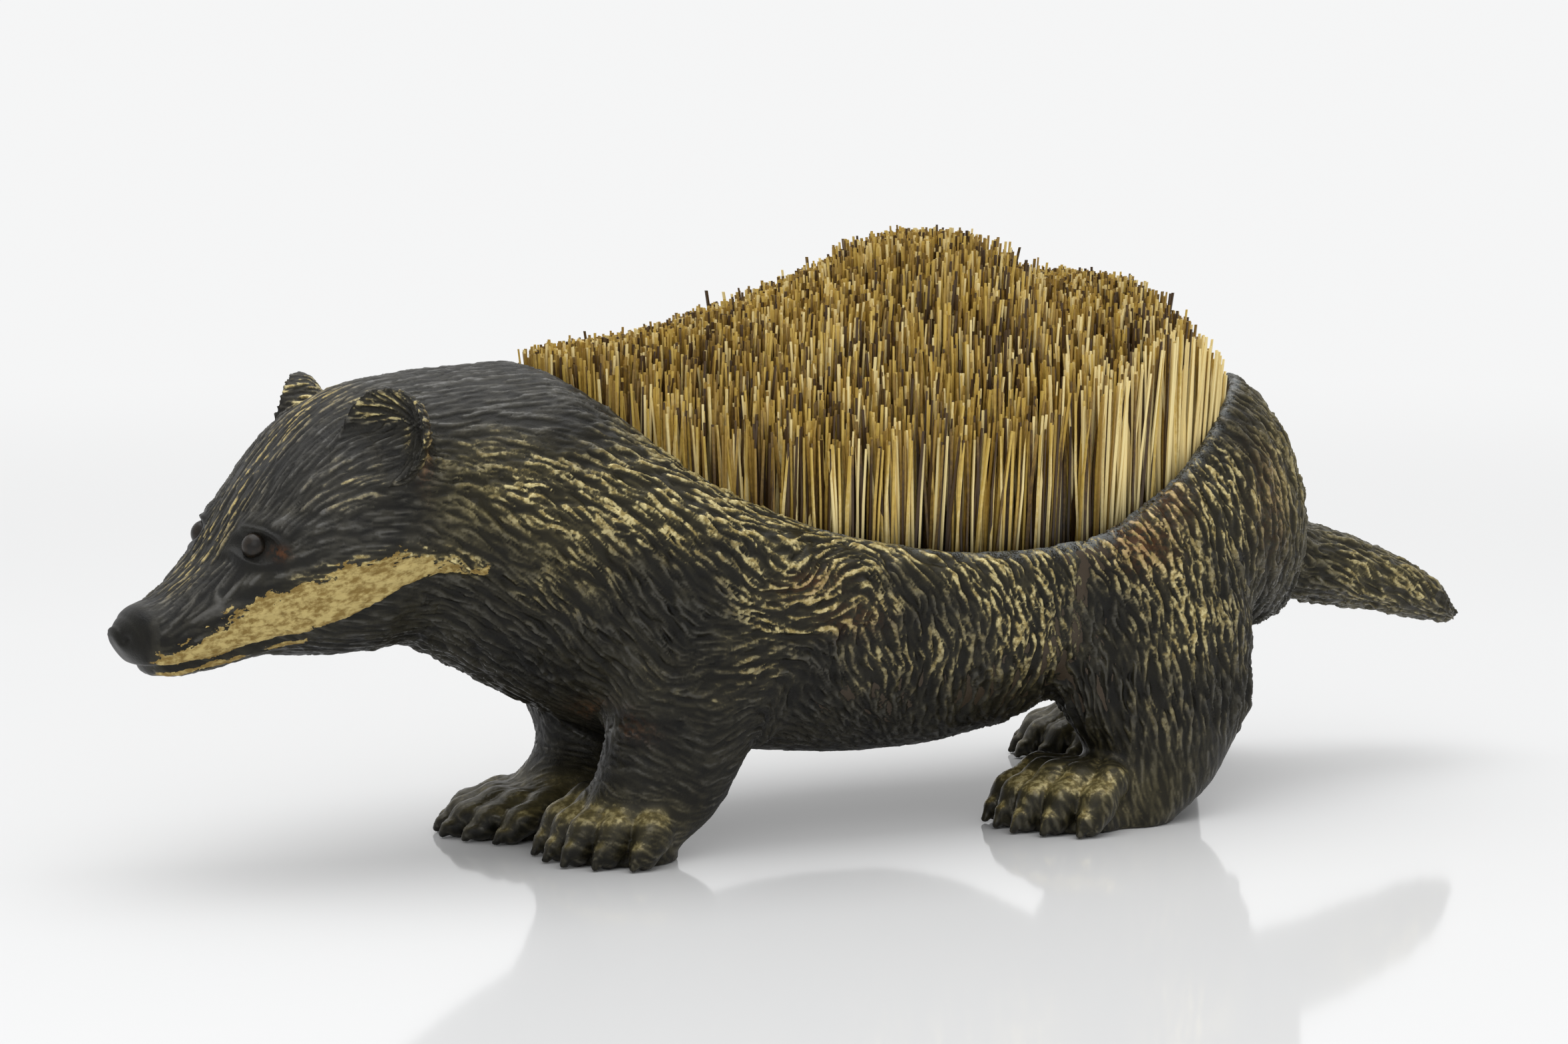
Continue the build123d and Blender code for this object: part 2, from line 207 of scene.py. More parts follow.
def surface_net(block: Block, values: Array) -> tuple[Array, Array]:
    """Closed skin of quads where the values change sign.

    Each cell of eight samples that holds both signs gets one point, the mean of the places where its edges
    cross zero, found in straight lines. Each sample edge that crosses zero gets the quad of its four cells.

    Args:
        block: the grid.
        values: field on the grid, negative inside.

    Returns:
        The points in mm and the quads, which face outwards.
    """
    inside = values < 0.0
    n = np.array(block.shape)
    count = np.zeros(n - 1, np.int8)
    for i, j, k in product((0, 1), repeat=3):
        count += inside[i:n[0] - 1 + i, j:n[1] - 1 + j, k:n[2] - 1 + k]
    cells = np.argwhere((count > 0) & (count < 8))
    index = np.full(n - 1, -1, np.int32)
    index[tuple(cells.T)] = np.arange(len(cells))
    corners = {c: values[tuple((cells + c).T)] for c in product((0, 1), repeat=3)}
    total = np.zeros((len(cells), 3))
    hits = np.zeros(len(cells))
    for corner in corners:
        for axis in range(3):
            if corner[axis]:
                continue
            far = tuple(1 if a == axis else c for a, c in enumerate(corner))
            a, b = corners[corner], corners[far]
            crossed = (a < 0.0) != (b < 0.0)
            share = np.where(crossed, a / np.where(crossed, a - b, 1.0), 0.0)
            place = np.tile(np.array(corner, float), (len(cells), 1))
            place[:, axis] = share
            total += place * crossed[:, None]
            hits += crossed
    points = (cells + total / hits[:, None]) * block.step + block.origin
    quads = []
    for axis in range(3):
        u, v = (axis + 1) % 3, (axis + 2) % 3
        near = np.moveaxis(inside, (axis, u, v), (0, 1, 2))
        ring = np.moveaxis(index, (axis, u, v), (0, 1, 2))
        a, b = near[:-1, 1:-1, 1:-1], near[1:, 1:-1, 1:-1]
        i, j, k = np.nonzero(a != b)
        quad = np.stack([ring[i, j, k], ring[i, j + 1, k], ring[i, j + 1, k + 1], ring[i, j, k + 1]], axis=1)
        leaving = a[i, j, k]
        quads.append(np.where(leaving[:, None], quad, quad[:, ::-1]))
    return points, np.concatenate(quads)


def halve(points: Array, quads: Array) -> tuple[Array, Array]:
    """Split each quad into four, with new points at the middles of its edges and of itself."""
    edges = np.stack([quads, np.roll(quads, -1, axis=1)], axis=-1).reshape(-1, 2)
    edges.sort(axis=1)
    key = edges[:, 0].astype(np.int64) * len(points) + edges[:, 1]
    kept, first, place = np.unique(key, return_index=True, return_inverse=True)
    middles = points[edges[first]].mean(axis=1)
    centres = points[quads].mean(axis=1)
    middle = len(points) + place.reshape(-1, 4)
    centre = len(points) + len(kept) + np.arange(len(quads))
    split = [
        np.stack([quads[:, i], middle[:, i], centre, middle[:, i - 1]], axis=1) for i in range(4)
    ]
    return np.vstack([points, middles, centres]), np.vstack(split)


def mesh_object(name: str, points: Array, faces: Array, smooth: bool = True) -> bpy.types.Object:
    """New object at the origin from points in mm and faces of one size each."""
    mesh = bpy.data.meshes.new(name)
    sides = faces.shape[1]
    mesh.vertices.add(len(points))
    mesh.vertices.foreach_set("co", (points * MM).astype(np.float32).ravel())
    mesh.loops.add(faces.size)
    mesh.loops.foreach_set("vertex_index", faces.astype(np.int32).ravel())
    mesh.polygons.add(len(faces))
    mesh.polygons.foreach_set("loop_start", np.arange(len(faces), dtype=np.int32) * sides)
    mesh.polygons.foreach_set("use_smooth", np.full(len(faces), smooth))
    mesh.update(calc_edges=True)
    mesh.validate()
    made = bpy.data.objects.new(name, mesh)
    bpy.context.scene.collection.objects.link(made)
    return made


def set_attribute(piece: bpy.types.Object, name: str, values: Array) -> None:
    """Store one number for each vertex under a name that a material reads."""
    store = piece.data.attributes.new(name, "FLOAT", "POINT")
    store.data.foreach_set("value", values.astype(np.float32))


# Forms of the castings


@dataclass(frozen=True)
class Loft:
    """Form through superellipse sections that stand across the length of the animal.

    The distance at a point is its distance from the section's centre times 1 - 1/r, where r is the
    superellipse radius |y/w|^n + |z/h|^n to the power 1/n. Past the last row the section closes as a dome.

    Args:
        rows: place along X, height of the centre, half width, rise above it and drop below it.
        fullness: n, 2 for an ellipse and more for a squarer section.
        dome: length of the rounded ends.
    """

    rows: Sequence[Row]
    fullness: float = 2.2
    dome: float = 0.9

    def at(self, x: Array) -> tuple[Array, Array, Array, Array]:
        """Height of the centre, half width, rise and drop at x."""
        table = np.array(self.rows, dtype=np.float32)
        return tuple(curve(table[:, 0], table[:, i], x).astype(np.float32) for i in range(1, 5))

    def field(self, x: Array, y: Array, z: Array) -> Array:
        """Distance to the form's skin, negative inside."""
        mid, half, rise, drop = self.at(x)
        up = z - mid
        n = np.float32(self.fullness)
        ratio = (np.abs(y / half) ** n + np.abs(up / np.where(up > 0, rise, drop)) ** n) ** (1 / n)
        over = np.maximum(self.rows[0][0] - x, x - self.rows[-1][0])
        closing = np.sqrt(np.clip(1.0 - (np.maximum(over, 0.0) / self.dome) ** 2, 0.0, 1.0))
        reach = np.sqrt(y * y + up * up)
        return np.maximum(reach - reach * closing / np.maximum(ratio, 1e-4), over - self.dome)


@dataclass(frozen=True)
class Bone:
    """Chain of round rods of changing thickness.

    Args:
        joints: points as (x, y, z, radius).
        reach: how far the rods melt into each other.
    """

    joints: Sequence[Row]
    reach: float = 0.4

    def field(self, x: Array, y: Array, z: Array) -> Array:
        """Distance to the chain: to the nearest point of each rod's axis, less the radius there."""
        total = None
        for a, b in zip(self.joints[:-1], self.joints[1:]):
            axis = np.array(b[:3]) - np.array(a[:3])
            length = float(axis @ axis)
            along = (x - a[0]) * axis[0] + (y - a[1]) * axis[1] + (z - a[2]) * axis[2]
            t = np.clip(along / length, 0.0, 1.0)
            gap = np.sqrt(
                (x - a[0] - t * axis[0]) ** 2 + (y - a[1] - t * axis[1]) ** 2 + (z - a[2] - t * axis[2]) ** 2
            ) - (a[3] + t * (b[3] - a[3]))
            total = gap if total is None else smooth_min(total, gap, self.reach)
        return total.astype(np.float32)


@dataclass(frozen=True)
class Leg:
    """Leg from level sections, with a fan of toe ridges and claws.

    Args:
        rows: height, centre x, centre y, half length and half width, from the sole up.
        lead: how far the paw's centre lies ahead of the sole's.
        splay: how far the paw turns outwards, in degrees.
        height: the paw's height, as a share of the near fore paw's.
        tufts: points of each tuft of fur at the back, as (x, y, z, radius).
        spacing: distance between toes.
        stagger: how far the first toe beside the middle one stands back.
        melt: how far the leg melts into the trunk.
    """

    rows: Sequence[Row]
    lead: float
    splay: float = 0.0
    height: float = 1.0
    tufts: Sequence[Sequence[Row]] = ()
    toes: int = 5
    spacing: float = 2.7
    stagger: float = 0.85
    melt: float = 2.2

    @property
    def paw(self) -> tuple[float, float]:
        """Centre of the paw on the floor."""
        return self.rows[0][1] - self.lead, self.rows[0][2]

    def box(self) -> tuple[Array, Array]:
        """Corners of the space that the leg can change."""
        rows = np.array(self.rows)
        half = rows[:, 3:5].max() + 4.0
        paw = np.array(self.paw)
        centres = np.vstack([rows[:, 1:3], paw])
        low, high = centres.min(axis=0) - half, centres.max(axis=0) + half
        return np.array([low[0], low[1], -1.0]), np.array([high[0], high[1], rows[-1, 0] + 3.0])

    def shank(self, x: Array, y: Array, z: Array) -> Array:
        """Distance to the leg above the paw, measured level in each section."""
        rows = np.array(self.rows, dtype=np.float32)
        cx, cy, length, width = (curve(rows[:, 0], rows[:, i], z).astype(np.float32) for i in range(1, 5))
        over = np.maximum(z - self.rows[-1][0], 0.0)
        dx, dy = x - cx, y - cy
        ratio = np.sqrt((dx / length) ** 2 + (dy / width) ** 2)
        reach = np.sqrt(dx * dx + dy * dy)
        return np.maximum(reach - reach / np.maximum(ratio, 1e-4), over - 1.0)

    def foot(self, x: Array, y: Array, z: Array) -> Array:
        """Distance to the paw: a low dome with the toes and their claws laid over it."""
        px, py = self.paw
        turn = -np.sign(py) * np.radians(self.splay)
        dx, dy = x - px, y - py
        back, aside = dx * np.cos(turn) + dy * np.sin(turn), dy * np.cos(turn) - dx * np.sin(turn)
        ratio = np.sqrt(((back - 0.4) / 5.0) ** 2 + (aside / 5.8) ** 2 + (z / 4.6) ** 2)
        reach = np.sqrt((back - 0.4) ** 2 + aside * aside + z * z)
        total = reach - reach / np.maximum(ratio, 1e-4)
        middle = (self.toes - 1) / 2
        for number in range(self.toes):
            place = number - middle
            side = place * self.spacing
            tip = self.stagger * abs(place) ** 1.6
            toe = Bone([
                (2.6 + 0.4 * tip, 0.5 * side, 4.9, 1.3), (tip - 1.0, 0.86 * side, 4.5, 1.6),
                (tip - 3.8, 1.03 * side, 2.9, 1.6), (tip - 5.3, 1.1 * side, 1.3, 1.3),
            ], 1.2)
            claw = Bone([(tip - 6.2, 1.11 * side, 1.5, 0.75), (tip - 7.0, 1.13 * side, 0.3, 0.4)], 0.2)
            both = smooth_min(toe.field(back, aside, z), claw.field(back, aside, z), 0.35)
            total = smooth_min(total, both, 0.15)
        return total

    def field(self, x: Array, y: Array, z: Array) -> Array:
        """Distance to the whole leg."""
        total = smooth_min(self.shank(x, y, z), self.foot(x, y, z / self.height), 1.1)
        for tuft in self.tufts:
            total = smooth_min(total, Bone(tuft).field(x, y, z), 1.2)
        return total


@dataclass(frozen=True)
class Ear:
    """Cupped round ear on one side of the head.

    Args:
        side: -1 for the left ear, 1 for the right ear.
        centre: middle of the cup on the left side, mirrored for the right.
        facing: direction in which the left ear's cup opens.
    """

    side: int
    centre: Row = (-52.6, -10.4, 39.7)
    facing: Row = (-0.78, -0.6, 0.2)
    half_width: float = 4.3
    half_height: float = 4.5
    dish: float = 2.9
    wall: float = 0.8
    melt: float = 0.7

    def axes(self) -> tuple[Array, Array, Array, Array]:
        """Centre of the cup, then its sideways, upward and facing directions."""
        mirror = np.array([1.0, -self.side, 1.0])
        centre = np.array(self.centre) * mirror
        out = unit(np.array(self.facing) * mirror)
        across = unit(np.cross(out, [0.0, 0.0, 1.0]))
        return centre, across, np.cross(across, out), out

    def box(self) -> tuple[Array, Array]:
        """Corners of the space that the ear can change."""
        centre = self.axes()[0]
        return centre - 8.0, centre + 8.0

    def field(self, x: Array, y: Array, z: Array) -> Array:
        """Distance to the ear: a bowl-shaped wall cut off round its rim, with a root behind it."""
        centre, across, up, out = self.axes()
        dx, dy, dz = x - centre[0], y - centre[1], z - centre[2]
        u = dx * across[0] + dy * across[1] + dz * across[2]
        v = dx * up[0] + dy * up[1] + dz * up[2]
        w = dx * out[0] + dy * out[1] + dz * out[2]
        ratio = np.sqrt((u / self.half_width) ** 2 + (v / self.half_height) ** 2)
        sheet = np.abs(w + self.dish * (1.0 - ratio * ratio)) * 0.8 - self.wall
        cup = smooth_max(sheet, (ratio - 1.0) * self.half_width, 0.7)
        root = np.sqrt((u / 3.1) ** 2 + ((v + 1.6) / 4.0) ** 2 + ((w + 3.4) / 2.5) ** 2)
        return smooth_min(cup, (root - 1.0) * 2.6, 0.8).astype(np.float32)


@dataclass(frozen=True)
class Well:
    """The boat-shaped opening in the back that holds the brush.

    Args:
        half_outline: points of the left half's mirror image, from nape to rump, as (x, y).
        seat: height of the ledge on which the brush stands.
        ledge: width of that ledge.
        floor: height of the hollow's floor.
    """

    half_outline: Sequence[tuple[float, float]]
    seat: float = 20.0
    ledge: float = 3.0
    floor: float = 12.6
    rounding: float = 0.9
    per_span: int = 12

    def outline(self) -> Array:
        """Closed smooth line through the outline's points, each span a cubic with chord slopes."""
        half = [tuple(p) for p in self.half_outline]
        loop = np.array(half + [(x, -y) for x, y in half[-2:0:-1]], float)
        slope = (np.roll(loop, -1, axis=0) - np.roll(loop, 1, axis=0)) / 2
        after, slope_after = np.roll(loop, -1, axis=0), np.roll(slope, -1, axis=0)
        t = (np.arange(self.per_span) / self.per_span)[:, None, None]
        line = (
            (1 + 2 * t) * (1 - t) ** 2 * loop + t * (1 - t) ** 2 * slope
            + t * t * (3 - 2 * t) * after - t * t * (1 - t) * slope_after
        )
        return line.transpose(1, 0, 2).reshape(-1, 2)

    def edge(self, x: Array, y: Array) -> Array:
        """Level distance to the outline, negative inside: nearest segment, signed by crossings."""
        line = self.outline()
        x, y = np.broadcast_arrays(x, y)
        nearest = np.full(x.shape, 1e9, np.float32)
        within = np.zeros(x.shape, bool)
        for (ax, ay), (bx, by) in zip(line, np.roll(line, -1, axis=0)):
            ex, ey = bx - ax, by - ay
            t = np.clip(((x - ax) * ex + (y - ay) * ey) / (ex * ex + ey * ey), 0.0, 1.0)
            nearest = np.minimum(nearest, (x - ax - t * ex) ** 2 + (y - ay - t * ey) ** 2)
            within ^= ((ay > y) != (by > y)) & (x < ex * (y - ay) / (ey if ey else SOFTEST) + ax)
        return np.where(within, -1.0, 1.0) * np.sqrt(nearest)

    def field(self, edge: Array, z: Array) -> Array:
        """Distance to the empty space, negative in it: the open top and the narrower hollow under it."""
        top = np.maximum(edge, self.seat - z)
        return np.minimum(top, np.maximum(edge + self.ledge, self.floor - z))


NECK = (-47.0, 31.5, 11.6, 12.9, 11.6)
BODY_ROWS = [
    (-74.0, 21.8, 1.8, 1.5, 1.1), (-73.0, 21.9, 3.2, 2.5, 2.1), (-70.0, 22.4, 5.0, 3.3, 3.9),
    (-66.0, 24.6, 7.0, 4.3, 5.8), (-61.5, 27.5, 9.5, 7.9, 7.7), (-57.0, 29.5, 11.7, 11.0, 9.9),
    (-52.0, 31.0, 12.3, 12.4, 11.5), NECK, (-40.0, 30.3, 14.2, 14.6, 13.8), (-33.5, 29.4, 16.2, 15.3, 16.3),
    (-28.0, 28.6, 17.6, 12.7, 17.8), (-22.0, 27.3, 18.8, 9.4, 18.1), (-12.0, 25.0, 20.1, 7.8, 17.5),
    (0.0, 23.5, 20.9, 7.8, 17.0), (12.0, 23.5, 21.2, 8.8, 15.8), (24.0, 24.5, 20.9, 11.0, 11.4),
    (32.0, 26.0, 19.8, 14.6, 11.6), (38.5, 27.0, 17.8, 16.3, 12.2), (45.0, 26.8, 13.6, 13.3, 11.6),
    (48.8, 26.1, 9.4, 8.8, 9.6), (50.8, 25.6, 5.0, 4.4, 5.0),
]
TAIL_ROWS = [
    (48.5, 22.8, 6.6, 4.2, 4.6), (56.0, 21.2, 6.4, 3.9, 4.2), (62.0, 19.7, 6.2, 3.5, 3.6),
    (68.0, 17.6, 5.4, 2.9, 2.8), (72.4, 15.6, 3.6, 1.8, 1.8), (74.0, 14.8, 1.9, 1.0, 1.0),
]
WELL_OUTLINE = [
    (-33.5, 0.0), (-29.0, 6.0), (-21.0, 11.5), (-9.0, 16.3), (7.0, 18.8), (21.0, 18.4), (32.0, 15.0),
    (39.5, 9.0), (43.5, 0.0),
]
LEGS = {
    "left_fore_leg": Leg([
        (0.0, -29.4, -10.5, 3.0, 5.0), (3.0, -27.2, -10.6, 6.0, 5.3), (6.0, -25.5, -10.7, 6.6, 5.5),
        (10.0, -23.6, -10.9, 7.2, 5.9), (14.0, -21.8, -11.2, 8.4, 6.8), (20.0, -21.0, -10.8, 9.2, 7.3),
        (27.0, -22.0, -9.5, 6.5, 5.0),
    ], 0.5, splay=20.0, tufts=[
        [(-20.0, -11.6, 12.6, 3.0), (-15.9, -12.0, 10.6, 1.1)],
        [(-22.6, -11.0, 7.6, 2.8), (-20.2, -11.2, 6.0, 1.4)],
    ]),
    "right_fore_leg": Leg([
        (0.0, -30.0, 6.5, 4.8, 5.2), (3.0, -27.6, 6.8, 5.4, 5.4), (7.0, -23.2, 7.6, 5.4, 5.2),
        (13.0, -22.2, 9.2, 6.9, 6.2), (20.0, -22.0, 10.2, 9.0, 7.2), (27.0, -22.0, 9.5, 6.5, 5.0),
    ], 2.4, height=0.72, tufts=[[(-20.0, 9.2, 12.6, 3.0), (-16.0, 9.8, 10.6, 1.1)]]),
    "left_hind_leg": Leg([
        (0.0, 21.0, -17.0, 5.3, 5.3), (3.0, 24.0, -16.8, 7.1, 5.5), (7.0, 26.2, -16.5, 8.0, 5.4),
        (10.0, 26.3, -16.2, 9.9, 5.8), (15.0, 25.8, -15.2, 11.2, 6.8), (21.0, 27.0, -13.2, 10.4, 8.3),
        (27.0, 28.0, -10.0, 7.5, 7.5), (30.0, 28.0, -8.0, 5.0, 5.0),
    ], 6.1, splay=14.0, tufts=[
        [(32.0, -15.4, 10.5, 3.0), (35.0, -15.9, 8.0, 1.2)],
        [(33.5, -14.6, 15.0, 3.2), (36.8, -15.0, 12.4, 1.2)],
    ]),
    "right_hind_leg": Leg([
        (0.0, 46.0, 17.0, 5.8, 5.4), (3.0, 46.6, 16.7, 6.4, 5.4), (7.0, 46.1, 15.7, 7.0, 5.4),
        (12.0, 43.8, 14.0, 8.4, 6.0), (18.0, 40.9, 11.9, 9.4, 7.2), (24.0, 38.5, 8.7, 7.5, 7.2),
        (29.0, 37.0, 6.0, 5.0, 5.0),
    ], 6.8, splay=6.0, height=0.85),
}


# Fur


@dataclass(frozen=True)
class Strokes:
    """One size of carved stroke.

    Args:
        cell: spacing of the strokes' roots.
        length: length of a stroke from root to tip.
        width: half width at its widest.
        wave: how far a stroke winds to the side.
        seed: picks the pattern.
        crest: 1 for a sharp crest, 2 for a round one.
    """

    cell: float
    length: float
    width: float
    wave: float
    seed: int
    crest: float = 1.5

    def height(self, points: Array, normals: Array, flow: Array) -> Array:
        """Height in 0..1 of the highest stroke over each point.

        Roots lie in a jittered lattice. Along the flow a stroke rises over its first sixth and thins to a
        point; across, its height is 1 - (offset / width)^crest; off the skin it dies out over one cell.

        Args:
            points: places on the skin.
            normals: skin directions there.
            flow: unit direction in which the hair lies there.

        Returns:
            The heights.
        """
        cuts = [slice(start, start + CHUNK) for start in range(0, len(points), CHUNK)]
        inputs = [part.astype(np.float32) for part in (points, normals, flow)]
        with ThreadPoolExecutor() as pool:
            runs = pool.map(lambda cut: self._chunk(*(part[cut] for part in inputs)), cuts)
            return np.concatenate([np.zeros(0, np.float32), *runs])

    def _chunk(self, points: Array, normals: Array, flow: Array) -> Array:
        """The heights for one run of points, small enough to stay quick."""
        frame_axes = (flow, np.cross(normals, flow), normals)
        base = np.floor((points - flow * (0.5 * self.length)) / self.cell).astype(np.int32)
        away = points - (base + np.float32(0.5)) * np.float32(self.cell)
        start = [np.einsum("ij,ij->i", away, axis) for axis in frame_axes]
        best = np.zeros(len(points), np.float32)
        slack = 0.78 * self.cell
        reach = max(2, int(np.ceil(0.55 * self.length / self.cell)))
        for offset in product(range(-reach, reach + 1), repeat=3):
            shift = np.array(offset, np.float32) * np.float32(self.cell)
            along, aside, off = (first - axis @ shift for first, axis in zip(start, frame_axes))
            near = np.flatnonzero(
                (np.abs(off) < 0.8 * self.cell + slack) & (np.abs(aside) < self.width + self.wave + slack)
                & (along > -slack) & (along < 1.12 * self.length + slack)
            )
            if not near.size:
                continue
            r = scramble(base[near] + np.array(offset, np.int32), self.seed)
            jitter = (np.stack(r[:3], axis=1) - np.float32(0.5)) * np.float32(0.9 * self.cell)
            along, aside, off = (
                part[near] - np.einsum("ij,ij->i", axis[near], jitter)
                for part, axis in zip((along, aside, off), frame_axes)
            )
            t = along / (self.length * (0.62 + 0.5 * r[3]))
            off = np.minimum(1.0, (off / (0.8 * self.cell)) ** 2)
            alive = (t > 0.0) & (t < 1.0) & (off < 1.0)
            t = np.clip(t, 0.0, 1.0)
            aside = aside + self.wave * np.sin(6.0 * t + 6.28 * r[0])
            half = self.width * (0.35 + 0.65 * np.minimum(1.0, 5.0 * t)) * (1.0 - t) ** 0.55
            across = np.abs(aside) / np.maximum(half, 0.02)
            rise = 1.0 - across ** self.crest
            rise = rise * np.minimum(1.0, 6.0 * t) * (1.0 - 0.5 * t) * (0.62 + 0.38 * r[1]) * (1.0 - off)
            best[near] = np.maximum(best[near], np.where(alive, rise, 0.0))
        return best


@dataclass(frozen=True)
class Blot:
    """Soft oval patch in side view, on both flanks.

    Args:
        x, z: centre.
        half_x, half_z: half sizes.
        tilt: turn of the long axis, in degrees up from +X.
        strength: value at the centre.
    """

    x: float
    z: float
    half_x: float
    half_z: float
    tilt: float = 0.0
    strength: float = 1.0

    def over(self, points: Array) -> Array:
        """Strength times exp(-r^2), r the oval radius."""
        a = np.radians(self.tilt)
        dx, dz = points[:, 0] - self.x, points[:, 2] - self.z
        u = (dx * np.cos(a) + dz * np.sin(a)) / self.half_x
        v = (dz * np.cos(a) - dx * np.sin(a)) / self.half_z
        return self.strength * np.exp(-(u * u + v * v))


def blots(rows: Iterable[Row], points: Array) -> Array:
    """Strongest of several blots at each point."""
    return np.max([Blot(*row).over(points) for row in rows], axis=0)


def to_line(points: Array, line: Sequence[tuple[float, float]]) -> tuple[Array, Array, Array]:
    """Distance in side view to a broken line, the signed height over it, and the share run along it."""
    p = points[:, [0, 2]]
    best = np.full(len(points), 1e9)
    over = np.zeros(len(points))
    run = np.zeros(len(points))
    pieces = list(zip(line[:-1], line[1:]))
    for number, (a, b) in enumerate(pieces):
        a, b = np.array(a), np.array(b)
        axis = b - a
        t = np.clip((p - a) @ axis / (axis @ axis), 0.0, 1.0)
        away = p - a - t[:, None] * axis
        gap = np.linalg.norm(away, axis=1)
        nearer = gap < best
        best = np.where(nearer, gap, best)
        over = np.where(nearer, (axis[0] * away[:, 1] - axis[1] * away[:, 0]) / np.linalg.norm(axis), over)
        run = np.where(nearer, (number + t) / len(pieces), run)
    return best, over, run


@dataclass(frozen=True)
class Coat:
    """The badger's hair: which way it lies and how deep it is cut.

    Side-view guides give the lie of the hair as (x, z, degrees up from +X). Between them the direction is the
    mean of all, weighed by 1 / (distance^2 + soft)^2.
    """

    guides: Sequence[Row] = (
        (-72.0, 24.0, 38.0), (-68.0, 28.0, 43.0), (-65.0, 32.0, 50.0), (-61.0, 37.0, 46.0),
        (-57.0, 40.5, 30.0), (-52.0, 42.5, 10.0), (-45.0, 43.8, 4.0), (-38.0, 44.5, 0.0),
        (-71.0, 22.0, 14.0), (-66.0, 24.0, 14.0), (-60.0, 26.0, 12.0), (-54.0, 28.0, 2.0),
        (-48.0, 29.0, -12.0), (-61.0, 33.5, 26.0), (-56.5, 35.5, 18.0), (-52.0, 33.0, 4.0),
        (-57.0, 31.0, 12.0), (-46.0, 38.0, -8.0), (-42.0, 34.0, -20.0), (-38.0, 38.0, -18.0),
        (-36.0, 33.0, -26.0), (-44.0, 28.0, -20.0), (-40.0, 29.0, -25.0), (-62.0, 20.5, 2.0),
        (-55.0, 21.0, -8.0), (-48.0, 20.0, -16.0), (-42.0, 18.0, -30.0), (-40.0, 23.0, -28.0),
        (-36.0, 16.0, -48.0), (-33.0, 21.0, -50.0), (-36.0, 26.0, -40.0), (-30.0, 36.0, -26.0),
        (-28.0, 31.0, -36.0), (-27.0, 26.0, -48.0), (-20.0, 36.0, -28.0), (-19.0, 33.5, -32.0),
        (-13.0, 34.5, -26.0), (-30.0, 24.0, -52.0), (-27.5, 20.5, -52.0), (-24.0, 18.0, 6.0),
        (-19.0, 18.5, 10.0), (-25.0, 13.0, -12.0), (-20.0, 13.0, 14.0), (-25.0, 8.0, -24.0),
        (-21.0, 8.0, 2.0), (-28.0, 5.0, -20.0), (-7.0, 31.0, -30.0), (0.0, 30.0, -30.0),
        (8.0, 30.0, -34.0), (16.0, 31.0, -44.0), (-5.0, 25.0, -52.0), (3.0, 25.0, -55.0),
        (10.0, 25.0, -60.0), (-8.0, 18.0, -72.0), (0.0, 15.0, -80.0), (8.0, 15.0, -80.0),
        (-2.0, 20.0, -66.0), (12.0, 19.0, -72.0), (-14.0, 12.0, -66.0), (-10.0, 9.0, -60.0),
        (18.0, 28.0, -60.0), (22.0, 32.0, -58.0), (28.0, 36.0, -62.0), (26.0, 28.0, -68.0),
        (34.0, 32.0, -70.0), (20.0, 22.0, -60.0), (30.0, 22.0, -75.0), (36.0, 38.0, -60.0),
        (42.0, 38.0, -56.0), (48.0, 32.0, -66.0), (51.0, 26.0, -68.0), (44.0, 26.0, -72.0),
        (46.0, 20.0, -70.0), (24.0, 16.0, -76.0), (30.0, 14.0, -80.0), (27.0, 9.0, -86.0),
        (31.0, 6.0, -80.0), (40.0, 16.0, -78.0), (44.0, 10.0, -80.0), (56.0, 22.0, -22.0),
        (64.0, 20.0, -24.0), (72.0, 16.0, -28.0), (60.0, 16.5, -42.0), (68.0, 14.5, -44.0),
    )
    swirl: tuple[float, float] = (-15.7, 28.3)
    swirl_radius: float = 4.6
    swirl_guides: int = 12
    soft: float = 2.0
    locks: Strokes = Strokes(2.6, 7.0, 1.0, 0.4, 3, 1.6)
    strokes: Strokes = Strokes(1.2, 4.36, 0.36, 0.13, 5, 1.3)
    combed: Strokes = Strokes(1.2, 4.36, 0.28, 0.05, 7, 1.4)

    def all_guides(self) -> Array:
        """The guides and those of the swirl: round under its centre, down in front and up behind."""
        turn = np.arange(self.swirl_guides) * 2.0 * np.pi / self.swirl_guides
        turn = turn[np.sin(turn) < -0.2]
        x, z = self.swirl
        ring = np.stack([
            x + self.swirl_radius * np.cos(turn), z + self.swirl_radius * np.sin(turn),
            0.7 * (np.degrees(turn) - 270.0),
        ], axis=1)
        return np.vstack([np.array(self.guides), ring])

    def flow(self, points: Array, normals: Array) -> Array:
        """Unit direction of the hair along the skin at each point."""
        heading = np.zeros((len(points), 2))
        for x, z, degrees in self.all_guides():
            weight = 1.0 / ((points[:, 0] - x) ** 2 + (points[:, 2] - z) ** 2 + self.soft) ** 2
            heading += weight[:, None] * np.array([np.cos(np.radians(degrees)), np.sin(np.radians(degrees))])
        heading = unit(heading)
        calm = np.maximum(1.0 - fade(points[:, 0], -54.0, -44.0), fade(points[:, 2], 36.0, 41.0))
        wander = (0.32 - 0.24 * calm) * (cloud(points, 3.4, 31) - 0.5)
        lie = np.stack([
            heading[:, 0] - wander * heading[:, 1], 0.0 * wander, heading[:, 1] + wander * heading[:, 0],
        ], axis=1)
        lie += 0.03 * np.array([0.0, 0.0, -1.0])
        return unit(lie - normals * np.einsum("ij,ij->i", lie, normals)[:, None])

